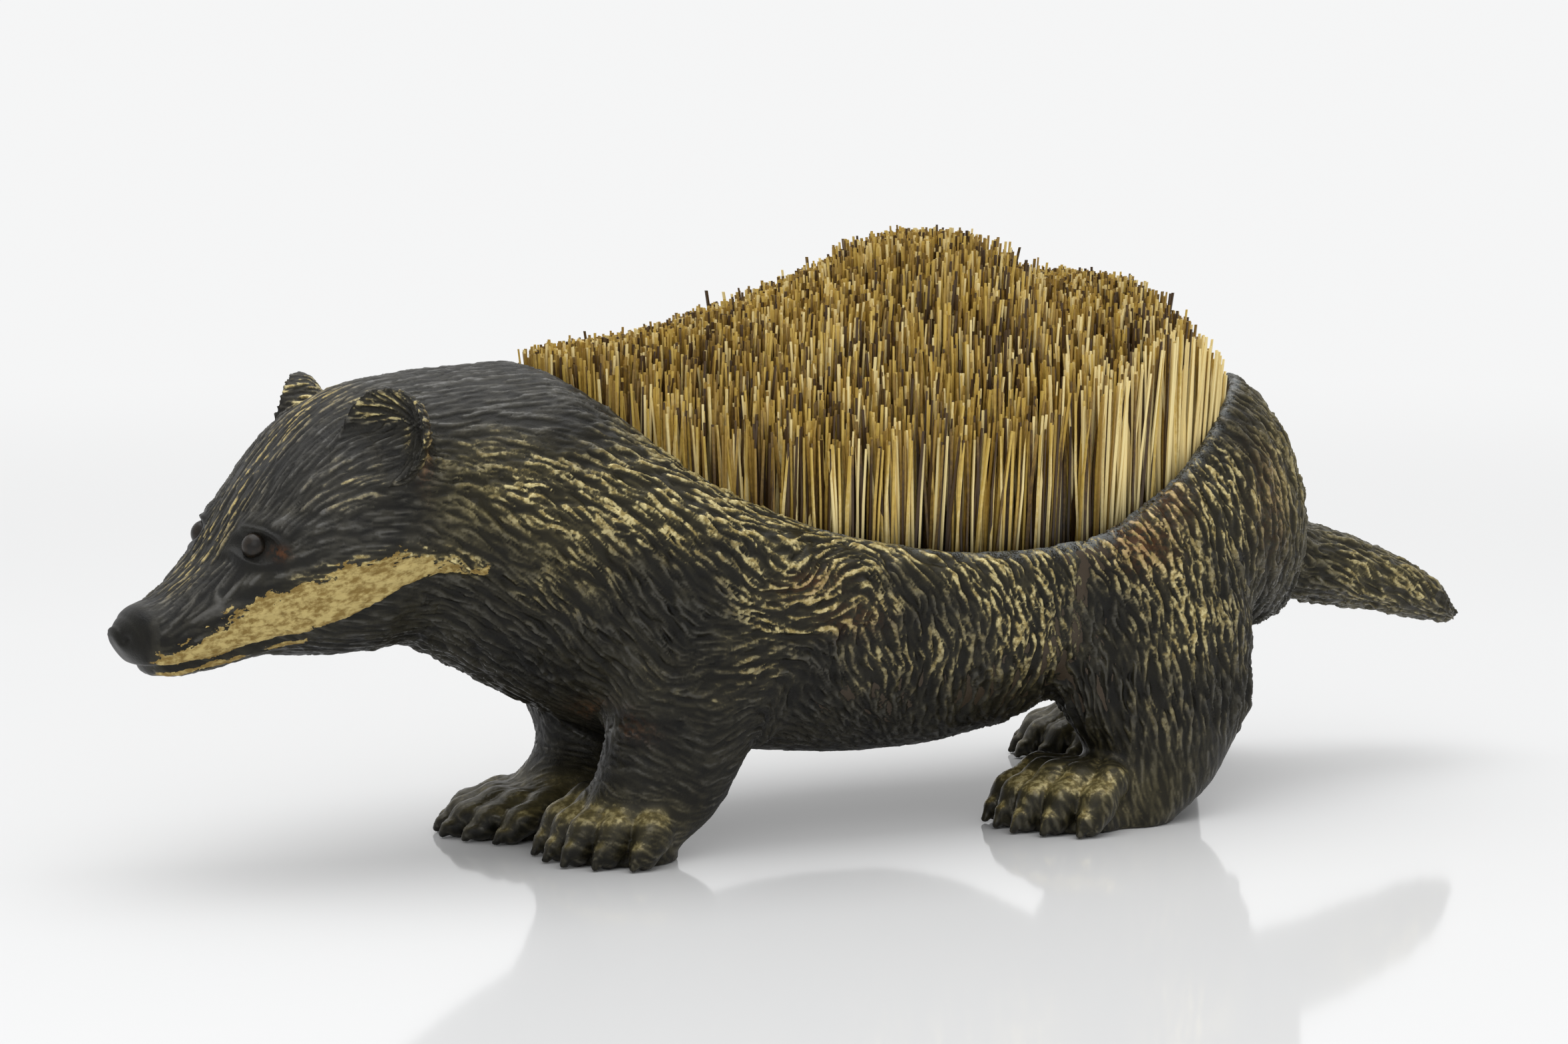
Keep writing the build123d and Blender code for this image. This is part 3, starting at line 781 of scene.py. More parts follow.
    def depth(self, p: Array) -> tuple[Array, Array, Array]:
        """How deep the locks, the strokes and the combed lines are cut at each point, in mm."""
        head = 1.0 - fade(p[:, 0], -54.0, -44.0)
        top = fade(p[:, 2], 36.0, 41.0) * (1.0 - fade(p[:, 0], -38.0, -30.0))
        fine = np.maximum(head, top)
        low = 1.0 - fade(p[:, 2], 6.0, 12.0)
        tail = fade(p[:, 0], 50.0, 54.0)
        fore = (1.0 - fade(p[:, 2], 14.0, 20.0)) * (1.0 - fade(p[:, 0], -16.0, -10.0))
        bare = 1.0 - fade(p[:, 0], -72.5, -69.0)
        locks = 0.5 * (1.0 - fine) * (1.0 - low) * (1.0 - 0.75 * fore)
        strokes = (0.58 - 0.48 * fine - 0.33 * fore) * (1.0 - 0.85 * low) * (1.0 - bare) - 0.08 * tail
        combed = (0.03 + 0.27 * fine + 0.17 * fore) * (1.0 - 0.5 * low) * (1.0 - bare)
        return locks, np.maximum(strokes, 0.0), combed


@dataclass(frozen=True)
class Face:
    """Details carved into the head: brow, lids, mouth, lip, cheek ledge and nostrils."""

    eye: Row = (-63.4, 30.2)
    eye_radius: float = 1.25
    eye_back: float = 0.3
    eye_sunk: float = 1.15
    mouth: Sequence[tuple[float, float]] = ((-76.0, 19.0), (-70.1, 19.5), (-64.7, 20.9), (-60.2, 22.0))
    cheek_low: Sequence[tuple[float, float]] = (
        (-64.9, 21.6), (-60.0, 22.6), (-55.8, 24.3), (-51.5, 26.6), (-47.7, 27.5), (-42.8, 26.9),
    )
    nostril: Row = (-74.3, 1.9, 22.2)

    def carve(self, p: Array) -> Array:
        """Height in mm that the details add to the skin at each point."""
        dx, dz = p[:, 0] - self.eye[0], p[:, 2] - self.eye[1]
        away = np.hypot(dx, dz * 1.08)
        on_side = fade(np.abs(p[:, 1]), 3.0, 4.6)
        socket = -0.45 * np.exp(-(away / 1.7) ** 2)
        upper = 0.75 + 0.25 * np.sign(dz) * fade(np.abs(dz), 0.0, 1.0)
        lids = 0.45 * np.exp(-((away - 1.55) / 0.32) ** 2) * upper
        brow = to_line(p, [(-66.0, 31.2), (-63.8, 32.3), (-61.2, 32.2), (-59.4, 31.0)])
        brows = 0.3 * np.exp(-(brow[0] / 0.8) ** 2)
        tear = to_line(p, [(-65.4, 29.3), (-68.4, 26.9)])
        total = (socket + lids + brows - 0.3 * np.exp(-(tear[0] / 0.4) ** 2)) * on_side
        gap, over, run = to_line(p, self.mouth)
        total += -0.45 * np.exp(-(gap / 0.3) ** 2) + 0.16 * np.exp(-((over + 0.62) / 0.3) ** 2) * (gap < 1.5)
        gap, over, run = to_line(p, self.cheek_low)
        swell = np.exp(-(gap / 2.6) ** 2) * np.sin(np.pi * np.clip(run, 0.02, 0.98)) ** 0.5
        total += swell * np.where(over > 0.0, 0.55, -0.55 * np.exp(-(gap / 1.6) ** 2)) * fade(gap, -0.1, 0.35)
        hole = np.hypot(np.hypot(p[:, 0] - self.nostril[0], np.abs(p[:, 1]) - self.nostril[1]),
                        1.3 * (p[:, 2] - self.nostril[2]))
        total -= 0.55 * np.exp(-(hole / 0.62) ** 2)
        leather = to_line(p, [(-73.4, 24.6), (-72.9, 22.6), (-72.4, 20.6)])
        return total - 0.08 * np.exp(-(leather[0] / 0.2) ** 2)

    def furless(self, p: Array) -> Array:
        """1 where the face stays smooth: nose leather, lids and eye."""
        away = np.hypot(p[:, 0] - self.eye[0], p[:, 2] - self.eye[1])
        lids = (1.0 - fade(away, 1.7, 2.6)) * (np.abs(p[:, 1]) > 3.0)
        return np.maximum(lids, 0.6 * (1.0 - fade(p[:, 0], -73.4, -72.2)))


# Castings


class Casting(Enum):
    """Bronze pieces, each with the CAD nodes that it stands for and its sampling step."""

    LEFT_SHOULDER = ("left_shoulder_flank", 0.45)
    RIGHT_SHOULDER = ("right_shoulder_flank", 0.45)
    LEFT_WAIST = ("left_waist_flank", 0.45)
    RIGHT_WAIST = ("right_waist_flank", 0.45)
    LEFT_HAUNCH = ("left_haunch_flank", 0.45)
    RIGHT_HAUNCH = ("right_haunch_flank", 0.45)
    WELL_LINING = ("well_lining", 0.8)
    HEAD = ("head_casting", 0.4)
    TAIL = ("tail_casting", 0.4)
    LEFT_FORE_LEG = ("left_fore_leg_casting", 0.39)
    RIGHT_FORE_LEG = ("right_fore_leg_casting", 0.39)
    LEFT_HIND_LEG = ("left_hind_leg_casting", 0.39)
    RIGHT_HIND_LEG = ("right_hind_leg_casting", 0.39)
    LEFT_EAR = ("left_ear_casting", 0.32)
    RIGHT_EAR = ("right_ear_casting", 0.32)


@dataclass
class Badger:
    """The animal's castings.

    Args:
        body: form of trunk and head.
        tail: form of the tail.
        well: opening in the back.
        legs: the four legs by node name.
        ears: the two ears by node name.
        coat: the hair.
        face: the details of the head.
    """

    body: Loft = Loft(BODY_ROWS)
    tail: Loft = Loft(TAIL_ROWS)
    well: Well = Well(WELL_OUTLINE)
    legs: dict[str, Leg] = field(default_factory=lambda: dict(LEGS))
    ears: dict[str, Ear] = field(default_factory=lambda: {"left_ear": Ear(-1), "right_ear": Ear(1)})
    coat: Coat = Coat()
    face: Face = Face()
    neck_plane: float = -47.0
    tail_plane: float = 52.5
    waist: tuple[float, float] = (-17.0, 15.0)
    belly_wall: float = 1.8
    leg_top: float = 16.0
    dive: float = 0.45
    overlap: float = 1.2
    far: float = 50.0

    def sample(self, block: Block) -> tuple[Array, dict[str, Array], Array, Array]:
        """Field of the whole animal on a block.

        Returns:
            The field, the field of each limb, the skin without its well, and the level distance to the well.
        """
        skin = self.body.field(block.x, block.y, block.z)
        skin = smooth_max(skin, -0.85 * (block.x + 74.9) - 0.53 * (block.z - 22.6), 0.8)
        limbs = {}
        forms = {**self.legs, **self.ears}
        for name, form in forms.items():
            limb = np.full(block.shape, self.far, np.float32)
            cut = block.window(*form.box())
            if min(c.stop - c.start for c in cut) > 0:
                limb[cut] = form.field(*block.part(cut))
                skin[cut] = smooth_min(skin[cut], limb[cut], form.melt)
            limbs[name] = limb
        if block.x.max() > self.tail.rows[0][0] - 2.0:
            limbs["tail"] = self.tail.field(block.x, block.y, block.z)
            skin = smooth_min(skin, limbs["tail"], 1.6)
        edge = self.well.edge(block.x, block.y).astype(np.float32)
        closed = skin + self.belly_wall - self.far * fade(block.z, 17.0, 19.0)
        whole = smooth_max(skin, -np.maximum(self.well.field(edge, block.z), closed), self.well.rounding)
        whole = np.maximum(whole, -block.z)
        return whole, limbs, skin, edge

    def regions(
        self, block: Block, limbs: dict[str, Array], skin: Array, edge: Array,
    ) -> dict[Casting, Array]:
        """Share of space that belongs to each casting, negative inside it."""
        head = np.broadcast_to(block.x - self.neck_plane, block.shape)
        tail = np.broadcast_to(self.tail_plane - block.x, block.shape)
        lining = np.maximum(np.broadcast_to(edge - 0.35, block.shape), skin + 1.1)
        owned = {Casting.WELL_LINING: lining}
        trunk = np.maximum(np.maximum(-head, -tail), -lining)
        for name in self.legs:
            leg = np.maximum(limbs[name] - 0.9, block.z - self.leg_top)
            owned[Casting[name.upper()]] = leg
            trunk = np.maximum(trunk, -leg)
        for name in self.ears:
            ear = limbs[name] - 0.7
            owned[Casting[name.upper()]] = ear
            head = np.maximum(head, -ear)
        owned[Casting.HEAD] = head
        owned[Casting.TAIL] = tail
        front, rear = block.x - self.waist[0], block.x - self.waist[1]
        for side, out in (("LEFT", 1.0), ("RIGHT", -1.0)):
            flank = np.maximum(trunk, out * block.y)
            owned[Casting[side + "_SHOULDER"]] = np.maximum(flank, front)
            owned[Casting[side + "_WAIST"]] = np.maximum(flank, np.maximum(-front, rear))
            owned[Casting[side + "_HAUNCH"]] = np.maximum(flank, -rear)
        return owned

    def box(self, casting: Casting) -> tuple[Array, Array]:
        """Corners of the block in which a casting is worked out."""
        name = casting.name.lower()
        if name in self.legs:
            low, high = self.legs[name].box()
            return low, np.array([high[0], high[1], self.leg_top + 3.0])
        if name in self.ears:
            return self.ears[name].box()
        return {
            Casting.LEFT_SHOULDER: ((-49.5, -25.0, 4.0), (-14.5, 2.5, 47.5)),
            Casting.RIGHT_SHOULDER: ((-49.5, -2.5, 4.0), (-14.5, 25.0, 47.5)),
            Casting.LEFT_WAIST: ((-19.5, -25.0, 4.0), (17.5, 2.5, 47.5)),
            Casting.RIGHT_WAIST: ((-19.5, -2.5, 4.0), (17.5, 25.0, 47.5)),
            Casting.LEFT_HAUNCH: ((12.5, -25.0, 4.0), (55.0, 2.5, 47.5)),
            Casting.RIGHT_HAUNCH: ((12.5, -2.5, 4.0), (55.0, 25.0, 47.5)),
            Casting.WELL_LINING: ((-36.5, -21.5, 8.0), (46.5, 21.5, 46.0)),
            Casting.HEAD: ((-76.8, -14.5, 16.0), (-44.5, 14.5, 46.5)),
            Casting.TAIL: ((49.5, -9.0, 10.0), (77.0, 9.0, 32.0)),
        }[casting]

    def mesh(self, casting: Casting) -> tuple[Array, Array, Array]:
        """Plain skin of one casting, closed under its neighbours.

        Where the casting ends, its skin runs on below the neighbour's for the overlap, lower by the dive.

        Returns:
            The points, the quads and the outward directions of the whole animal's skin at the points.
        """
        step = casting.value[1]
        low, high = self.box(casting)
        block = Block(low, high, step)
        whole, limbs, skin, edge = self.sample(block)
        region = self.regions(block, limbs, skin, edge)[casting]
        own = np.maximum(whole + self.dive * np.clip(region, 0.0, 2.0), region - self.overlap)
        for axis in range(3):
            face = [slice(None)] * 3
            for end in (0, -1):
                face[axis] = end
                own[tuple(face)] = np.maximum(own[tuple(face)], 0.5 * step)
        points, quads = surface_net(block, own.astype(np.float32))
        if casting is not Casting.WELL_LINING:
            points, quads = halve(points, quads)
            steepest = block.outward(own, points)
            gap = np.clip(block.read(own, points), -0.3 * step, 0.3 * step)
            points = points - steepest * gap[:, None]
        return points, quads, block.outward(whole, points)

    def build(self, casting: Casting) -> bpy.types.Object:
        """Mesh of one casting with its fur, its carving and the masks that its paint reads."""
        points, quads, normals = self.mesh(casting)
        if casting is Casting.WELL_LINING:
            lift = 0.12 * (cloud(points, 2.6, 41) - 0.5) + 0.06 * (cloud(points, 1.1, 42) - 0.5)
            ridge = np.zeros(len(points))
        else:
            lift, ridge = self.fur(points, normals)
        floor = fade(points[:, 2], 0.25, 1.2)
        points = points + normals * (lift * floor)[:, None]
        points[:, 2] = np.maximum(points[:, 2], 0.0)
        piece = mesh_object(casting.value[0], points, quads)
        for name, values in self.masks(points, normals, ridge).items():
            set_attribute(piece, name, values)
        return piece

    def fur(self, points: Array, normals: Array) -> tuple[Array, Array]:
        """Lift of the skin in mm and height of the hair in 0..1 at each point."""
        flow = self.coat.flow(points, normals)
        locks = self.coat.locks.height(points, normals, flow)
        strokes = self.coat.strokes.height(points, normals, flow)
        depths = self.coat.depth(points)
        fine = np.flatnonzero(depths[2] > 0.06)
        combed = np.full(len(points), 0.4)
        combed[fine] = self.coat.combed.height(points[fine], normals[fine], flow[fine])
        smooth = self.face.furless(points)
        edge = self.well.edge(points[:, 0], points[:, 1])
        rim = 1.0 - fade(np.abs(edge), 0.6, 1.5)
        rim *= (np.abs(points[:, 0] - 5.0) < 42.0) * (points[:, 2] > 24.0)
        keep = (1.0 - 0.92 * smooth) * (1.0 - 0.85 * rim)
        layers = (locks, strokes, combed)
        lift = sum(d * (h - 0.4) for d, h in zip(depths, layers)) * keep
        ridge = (depths[1] * strokes + depths[2] * combed) / (depths[1] + depths[2] + 0.01)
        head = (points[:, 0] < -40.0)
        lift = lift + np.where(head, self.face.carve(points), 0.0)
        return lift + self.muscle(points, normals), ridge * (1.0 - smooth)

    def muscle(self, p: Array, normals: Array) -> Array:
        """Broad swellings and hollows of the animal's build, in mm."""
        rows = (
            (-24.0, 30.0, 9.0, 5.5, -35.0, 0.9), (-15.7, 28.3, 3.2, 3.0, 0.0, 0.45),
            (-9.0, 25.0, 4.5, 2.4, 20.0, 0.5), (26.0, 27.0, 8.0, 6.0, -60.0, 0.8),
            (2.0, 24.0, 9.0, 3.5, -5.0, 0.3), (-41.0, 33.0, 5.0, 6.0, -60.0, 0.5),
            (-12.0, 20.0, 4.0, 3.0, -40.0, -0.7), (15.0, 24.0, 2.6, 6.0, -25.0, -0.5),
            (-34.0, 27.5, 2.4, 5.5, 35.0, -0.5),
        )
        side = fade(np.abs(normals[:, 1]), 0.15, 0.5)
        return sum(Blot(*row).over(p) for row in rows) * side + 0.25 * (cloud(p, 4.5, 51) - 0.5)

    def masks(self, p: Array, normals: Array, ridge: Array) -> dict[str, Array]:
        """Where each paint lies, painted sheen and highlights among them, as 0..1 at each point."""
        side = fade(np.abs(normals[:, 1]), 0.1, 0.4)
        gilt = blots([
            (-20.0, 32.0, 11.0, 4.5, -28.0, 0.85), (-12.0, 31.5, 8.0, 4.0, -15.0, 1.0),
            (-15.0, 27.0, 7.5, 5.0, 0.0, 1.0), (-2.0, 30.5, 10.0, 4.0, 0.0, 0.9),
            (5.0, 26.5, 11.0, 5.0, -12.0, 0.8), (17.0, 30.5, 6.5, 5.5, -30.0, 1.0),
            (24.0, 33.0, 7.0, 6.0, -40.0, 0.9), (22.0, 26.0, 8.0, 5.0, -20.0, 0.8),
            (31.0, 31.0, 7.0, 8.0, 0.0, 0.65), (8.0, 21.0, 8.0, 5.0, -60.0, 0.65),
            (-29.0, 33.0, 9.0, 5.0, -28.0, 0.7), (-38.0, 34.0, 9.0, 5.0, -20.0, 0.6),
            (-13.0, 22.4, 8.0, 2.0, 5.0, 0.95), (42.0, 32.0, 8.0, 9.0, 0.0, 0.4),
            (-3.0, 18.0, 8.0, 5.0, 0.0, 0.45), (62.0, 19.0, 12.0, 4.5, -20.0, 0.45),
            (27.0, 20.0, 9.0, 7.0, 0.0, 0.5), (-20.0, 17.5, 8.0, 4.0, 0.0, 0.35),
            (-36.0, 27.0, 5.0, 6.0, -50.0, 0.4), (-56.0, 36.0, 6.0, 3.0, 20.0, 0.3),
            (24.0, 11.0, 9.0, 6.0, 0.0, 0.25), (-51.8, 42.4, 3.0, 1.6, 0.0, 0.9),
            (-49.8, 39.6, 1.2, 3.2, 0.0, 0.7),
        ], p) * side
        olive = blots([
            (-44.5, 33.5, 4.0, 5.0, -30.0, 0.9), (-38.0, 31.0, 6.0, 4.5, -30.0, 0.75),
            (-30.0, 34.0, 6.0, 3.5, -25.0, 0.6), (-40.0, 37.0, 6.0, 2.4, -8.0, 0.6),
            (44.0, 32.0, 9.0, 9.0, 0.0, 0.85), (62.0, 19.0, 13.0, 6.0, -20.0, 0.9),
            (24.0, 33.0, 9.0, 6.0, -30.0, 0.6), (0.0, 29.0, 13.0, 4.0, 0.0, 0.45),
            (-29.0, 3.0, 7.0, 3.0, 0.0, 0.6), (18.0, 3.0, 8.0, 3.5, 0.0, 0.7),
            (41.0, 3.0, 8.0, 3.5, 0.0, 0.6),
        ], p)
        # Grey paint on the head, and along the top of the neck painted sheen where the light falls on it.
        slate_and_sheen = blots([
            (-58.0, 36.0, 8.0, 6.0, 40.0, 0.9), (-44.0, 43.0, 12.0, 3.0, 0.0, 1.0),
            (-57.0, 30.5, 8.0, 3.0, 5.0, 0.7), (-67.0, 26.5, 6.0, 2.6, 30.0, 0.6),
            (-34.0, 44.0, 6.0, 2.5, 0.0, 0.8),
        ], p)
        rust = blots([
            (21.0, 27.5, 3.6, 2.6, -20.0, 0.8), (25.0, 31.0, 2.6, 3.0, -40.0, 0.6),
            (-14.5, 25.4, 3.0, 1.2, 8.0, 0.6), (-30.5, 13.0, 1.0, 2.0, 60.0, 0.4),
            (-10.0, 22.0, 3.0, 1.6, 0.0, 0.4), (39.0, 30.0, 3.0, 5.0, 0.0, 0.3),
            (-49.2, 38.5, 0.7, 3.0, 0.0, 0.5),
        ], p)
        profile = 1.3 * np.exp(-(p[:, 1] / 2.5) ** 2) * fade(normals[:, 2], 0.1, 0.4)
        profile *= fade(p[:, 0], -71.5, -66.5) * (1.0 - fade(p[:, 0], -54.5, -50.0)) * (p[:, 2] > 24.0)
        low = to_line(p, self.face.cheek_low)
        mouth = to_line(p, self.face.mouth)
        top = to_line(p, [
            (-75.0, 20.8), (-70.0, 22.2), (-66.5, 24.4), (-62.0, 26.6), (-57.0, 28.6), (-52.0, 29.6),
            (-47.5, 29.0), (-42.8, 27.4),
        ])
        under_top = fade(-top[1], -1.1, 1.3)
        over_low = np.where(p[:, 0] < -63.0, fade(mouth[1], 0.1, 0.5), fade(low[1], -0.25, 0.25))
        fading = fade(p[:, 0], -73.6, -69.0) * (1.0 - 0.6 * fade(p[:, 0], -50.0, -42.6))
        stripe = under_top * over_low * fading
        stripe *= (p[:, 0] < -42.6) * (1.0 - 0.6 * Blot(-68.6, 22.6, 2.4, 0.9, 25.0).over(p))
        lip = np.exp(-((mouth[1] + 0.6) / 0.32) ** 2) * (mouth[0] < 1.4) * fade(p[:, 0], -72.0, -70.0)
        brass = np.exp(-(top[1] / 0.9) ** 2)
        brass *= fade(p[:, 0], -64.0, -58.0) * (1.0 - fade(p[:, 0], -46.0, -42.0))
        red = np.exp(-(np.hypot(p[:, 0] + 61.9, p[:, 2] - 29.8) / 0.55) ** 2) * (np.abs(p[:, 1]) > 4.0)
        edge = self.well.edge(p[:, 0], p[:, 1])
        rim = (1.0 - fade(np.abs(edge), 0.5, 1.5)) * (np.abs(p[:, 0] - 5.0) < 42.0) * (p[:, 2] > 24.0)
        nose = 1.0 - fade(p[:, 0] + 0.25 * (p[:, 2] - 22.0), -73.2, -72.4)
        # Upward toe tops: worn paint and painted highlight, laid on as olive and gilt.
        toes = (1.0 - fade(p[:, 2], 5.0, 7.0)) * fade(normals[:, 2], 0.1, 0.75)
        ridge = np.maximum(ridge, 0.42 * toes)
        # Painted shade: the far paws get less of it.
        toes = toes * np.where(p[:, 1] > 0.0, 0.55, 1.0)
        olive = np.maximum(olive, 0.75 * toes)
        gilt = np.maximum(gilt, toes * np.where(p[:, 0] > 0.0, 0.42, 0.3))
        return {
            "ridge": ridge, "gilt": np.maximum(gilt, 0.9 * brass), "olive": olive,
            "slate_and_sheen": slate_and_sheen * (1.0 - stripe),
            "rust": np.maximum(rust * side, red), "cream": np.maximum(stripe, np.maximum(0.8 * lip, 0.0)),
            "crown": profile, "rim": rim, "nose": nose,
        }


# Brush


CROWN_RIDGE = [
    (-33.5, 45.6), (-29.5, 46.6), (-22.9, 47.2), (-17.1, 48.2), (-6.0, 51.2), (0.9, 53.6), (5.3, 55.6),
    (13.4, 55.4), (17.0, 53.3), (20.6, 51.8), (29.0, 51.2), (33.4, 47.6), (38.4, 42.2), (43.5, 36.0),
]
CROWN_EDGE = [
    (-33.5, 45.6), (-24.0, 38.6), (-12.0, 35.2), (0.0, 35.0), (12.0, 36.4), (20.0, 40.6), (28.0, 45.0),
    (34.0, 43.4), (43.5, 35.6),
]


@dataclass
class Brush:
    """Natural bristles that stand in the pitch bed.

    Args:
        well: the opening whose outline the brush follows.
        pitch: spacing of the bristles.
        root: height at which they start.
        margin: gap between the outermost bristles and the well's wall.
        thickness: half width of a bristle.
        borders: x at which one field ends and the next starts.
        reach: x at which the rows of bristles start and end.
        half_width: y that the rows reach on each side.
        tuft: size of the bundles that lean together.
    """

    well: Well
    pitch: float = 0.41
    margin: float = 0.85
    root: float = 24.0
    thickness: float = 0.165
    borders: tuple[float, float] = (-9.3, 17.1)
    reach: tuple[float, float] = (-34.0, 44.0)
    half_width: float = 20.0
    tuft: float = 2.3
    seed: int = 17

    def crown(self, x: Array, y: Array) -> Array:
        """Height of the brush: from the edge's line up to the ridge's, as 1 - (|y| / half width)^2."""
        ridge, rim = np.array(CROWN_RIDGE), np.array(CROWN_EDGE)
        line = self.well.outline()
        upper = line[line[:, 1] >= 0.0]
        upper = upper[np.argsort(upper[:, 0])]
        half = np.maximum(np.interp(x, upper[:, 0], upper[:, 1]), 1.0)
        high, low = curve(ridge[:, 0], ridge[:, 1], x), curve(rim[:, 0], rim[:, 1], x)
        return low + (high - low) * (1.0 - np.clip(np.abs(y) / half, 0.0, 1.0) ** 2.3)

    def strands(self) -> dict[str, Array]:
        """Root, lean, length, thickness and shade of every bristle."""
        rng = np.random.default_rng(self.seed)
        columns = np.arange(self.reach[0], self.reach[1], self.pitch)
        rows = np.arange(-self.half_width, self.half_width, self.pitch * 0.87)
        x, y = np.meshgrid(columns, rows, indexing="ij")
        x = x + 0.5 * self.pitch * (np.arange(x.shape[1]) % 2)
        x, y = x.ravel(), y.ravel()
        x, y = x + rng.normal(0, 0.09, x.size), y + rng.normal(0, 0.09, x.size)
        keep = self.well.edge(x, y) < -self.margin
        slit = (np.abs(x + 0.6 + 0.1 * (y + 18)) < 0.55) & (y < -14.5)
        bare = (np.hypot(x - 14.5, y + 17.6) < 1.2)
        keep &= ~(slit | bare)
        x, y = x[keep], y[keep]
        cell = np.floor(np.stack([x, y, 0 * x], axis=1) / self.tuft).astype(np.int64)
        r = scramble(cell, self.seed)
        centre = (cell[:, :2] + 0.5 + 0.5 * (np.stack(r[:2], axis=1) - 0.5)) * self.tuft
        away = np.stack([x, y], axis=1) - centre
        outward = np.stack([np.where(x < 5.0, 0.012 * (x - 5.0), 0.0), 0.5 * y / 18.0], axis=1)
        edge = self.well.edge(x, y)
        near_edge = fade(edge, -4.0, -0.8)
        lean = 0.03 * away + 0.09 * outward * near_edge[:, None] + rng.normal(0, 0.026, (x.size, 2))
        lean += 0.05 * (np.stack(r[2:4], axis=1) - 0.5)
        stray = rng.random(x.size) < 0.004
        lean += stray[:, None] * rng.normal(0, 0.09, (x.size, 2))
        top = self.crown(x, y) + 0.5 * (r[2] - 0.5) + rng.normal(0, 0.2, x.size)
        top += stray * rng.uniform(0.2, 1.0, x.size)
        shade = np.clip(0.5 + 0.2 * (r[3] - 0.5) + rng.normal(0, 0.27, x.size), 0.0, 1.0)
        shade = np.where((x > 18.0) & (edge > -2.5) & (rng.random(x.size) < 0.5), 0.9, shade)
        return {
            "base": np.stack([x, y], axis=1), "lean": lean, "top": top, "shade": shade,
            "bend": rng.normal(0, 0.12, (x.size, 2)),
            "half": self.thickness * rng.uniform(0.78, 1.15, x.size),
            "turn": rng.uniform(0, np.pi / 2, x.size),
        }

    def build(self, name: str, low: float, high: float, all_strands: dict[str, Array]) -> bpy.types.Object:
        """One field of bristles, each a bent square rod of three rings with closed ends."""
        pick = (all_strands["base"][:, 0] >= low) & (all_strands["base"][:, 0] < high)
        s = {key: values[pick] for key, values in all_strands.items()}
        count = len(s["top"])
        shares = np.array([0.0, 0.6, 1.0])
        corner = np.arange(4) * np.pi / 2
        length = s["top"] - self.root
        z = self.root + shares[None, :] * length[:, None]
        swing = (shares[None, :] ** 1.3 * length[:, None])[..., None]
        bow = np.sin(np.pi * shares)[None, :, None]
        centre = s["base"][:, None, :] + s["lean"][:, None, :] * swing + s["bend"][:, None, :] * bow
        radius = s["half"][:, None] * np.array([0.95, 1.0, 0.85])[None, :]
        angle = s["turn"][:, None] + corner[None, :]
        ring = np.stack([np.cos(angle), np.sin(angle)], axis=-1)
        flat = centre[:, :, None, :] + radius[:, :, None, None] * ring[:, None, :, :]
        height = np.broadcast_to(z[:, :, None, None], flat.shape[:3] + (1,))
        points = np.concatenate([flat, height], axis=-1).reshape(-1, 3)
        rows = len(shares)
        quads = [(4 * k + i, 4 * k + (i + 1) % 4, 4 * k + 4 + (i + 1) % 4, 4 * k + 4 + i)
                 for k in range(rows - 1) for i in range(4)]
        quads += [(3, 2, 1, 0), tuple(4 * (rows - 1) + i for i in range(4))]
        faces = (np.array(quads)[None] + (np.arange(count) * 4 * rows)[:, None, None]).reshape(-1, 4)
        piece = mesh_object(name, points, faces, smooth=False)
        set_attribute(piece, "shade", np.repeat(s["shade"], 4 * rows))
        set_attribute(piece, "run", np.tile(np.repeat(shares, 4), count))
        return piece


# Paints


class Tap:
    """One output of a node, on which Python's operators add Math nodes."""

    def __init__(self, bench: "Bench", socket: bpy.types.NodeSocket) -> None:
        """Remember the socket and the bench that adds nodes."""
        self.bench = bench
        self.socket = socket

    def _math(self, operation: str, *values: "Tap | float") -> "Tap":
        """One Math node on the given values."""
        return self.bench.node("ShaderNodeMath", {"operation": operation}, dict(enumerate(values)))

    def __add__(self, other: "Tap | float") -> "Tap":
        """Sum."""
        return self._math("ADD", self, other)

    def __mul__(self, other: "Tap | float") -> "Tap":
        """Product."""
        return self._math("MULTIPLY", self, other)

    def __sub__(self, other: "Tap | float") -> "Tap":
        """Difference."""
        return self._math("SUBTRACT", self, other)

    def __rsub__(self, other: float) -> "Tap":
        """Difference the other way round."""
        return self._math("SUBTRACT", other, self)

    def __truediv__(self, other: "Tap | float") -> "Tap":
        """Quotient."""
        return self._math("DIVIDE", self, other)

    def __pow__(self, other: float) -> "Tap":
        """Power."""
        return self._math("POWER", self, other)

    __radd__ = __add__
    __rmul__ = __mul__

    def fade(self, low: float, high: float) -> "Tap":
        """0 at low and 1 at high, with level ends."""
        return self.bench.node(
            "ShaderNodeMapRange", {"interpolation_type": "SMOOTHSTEP"}, {0: self, 1: low, 2: high}
        )


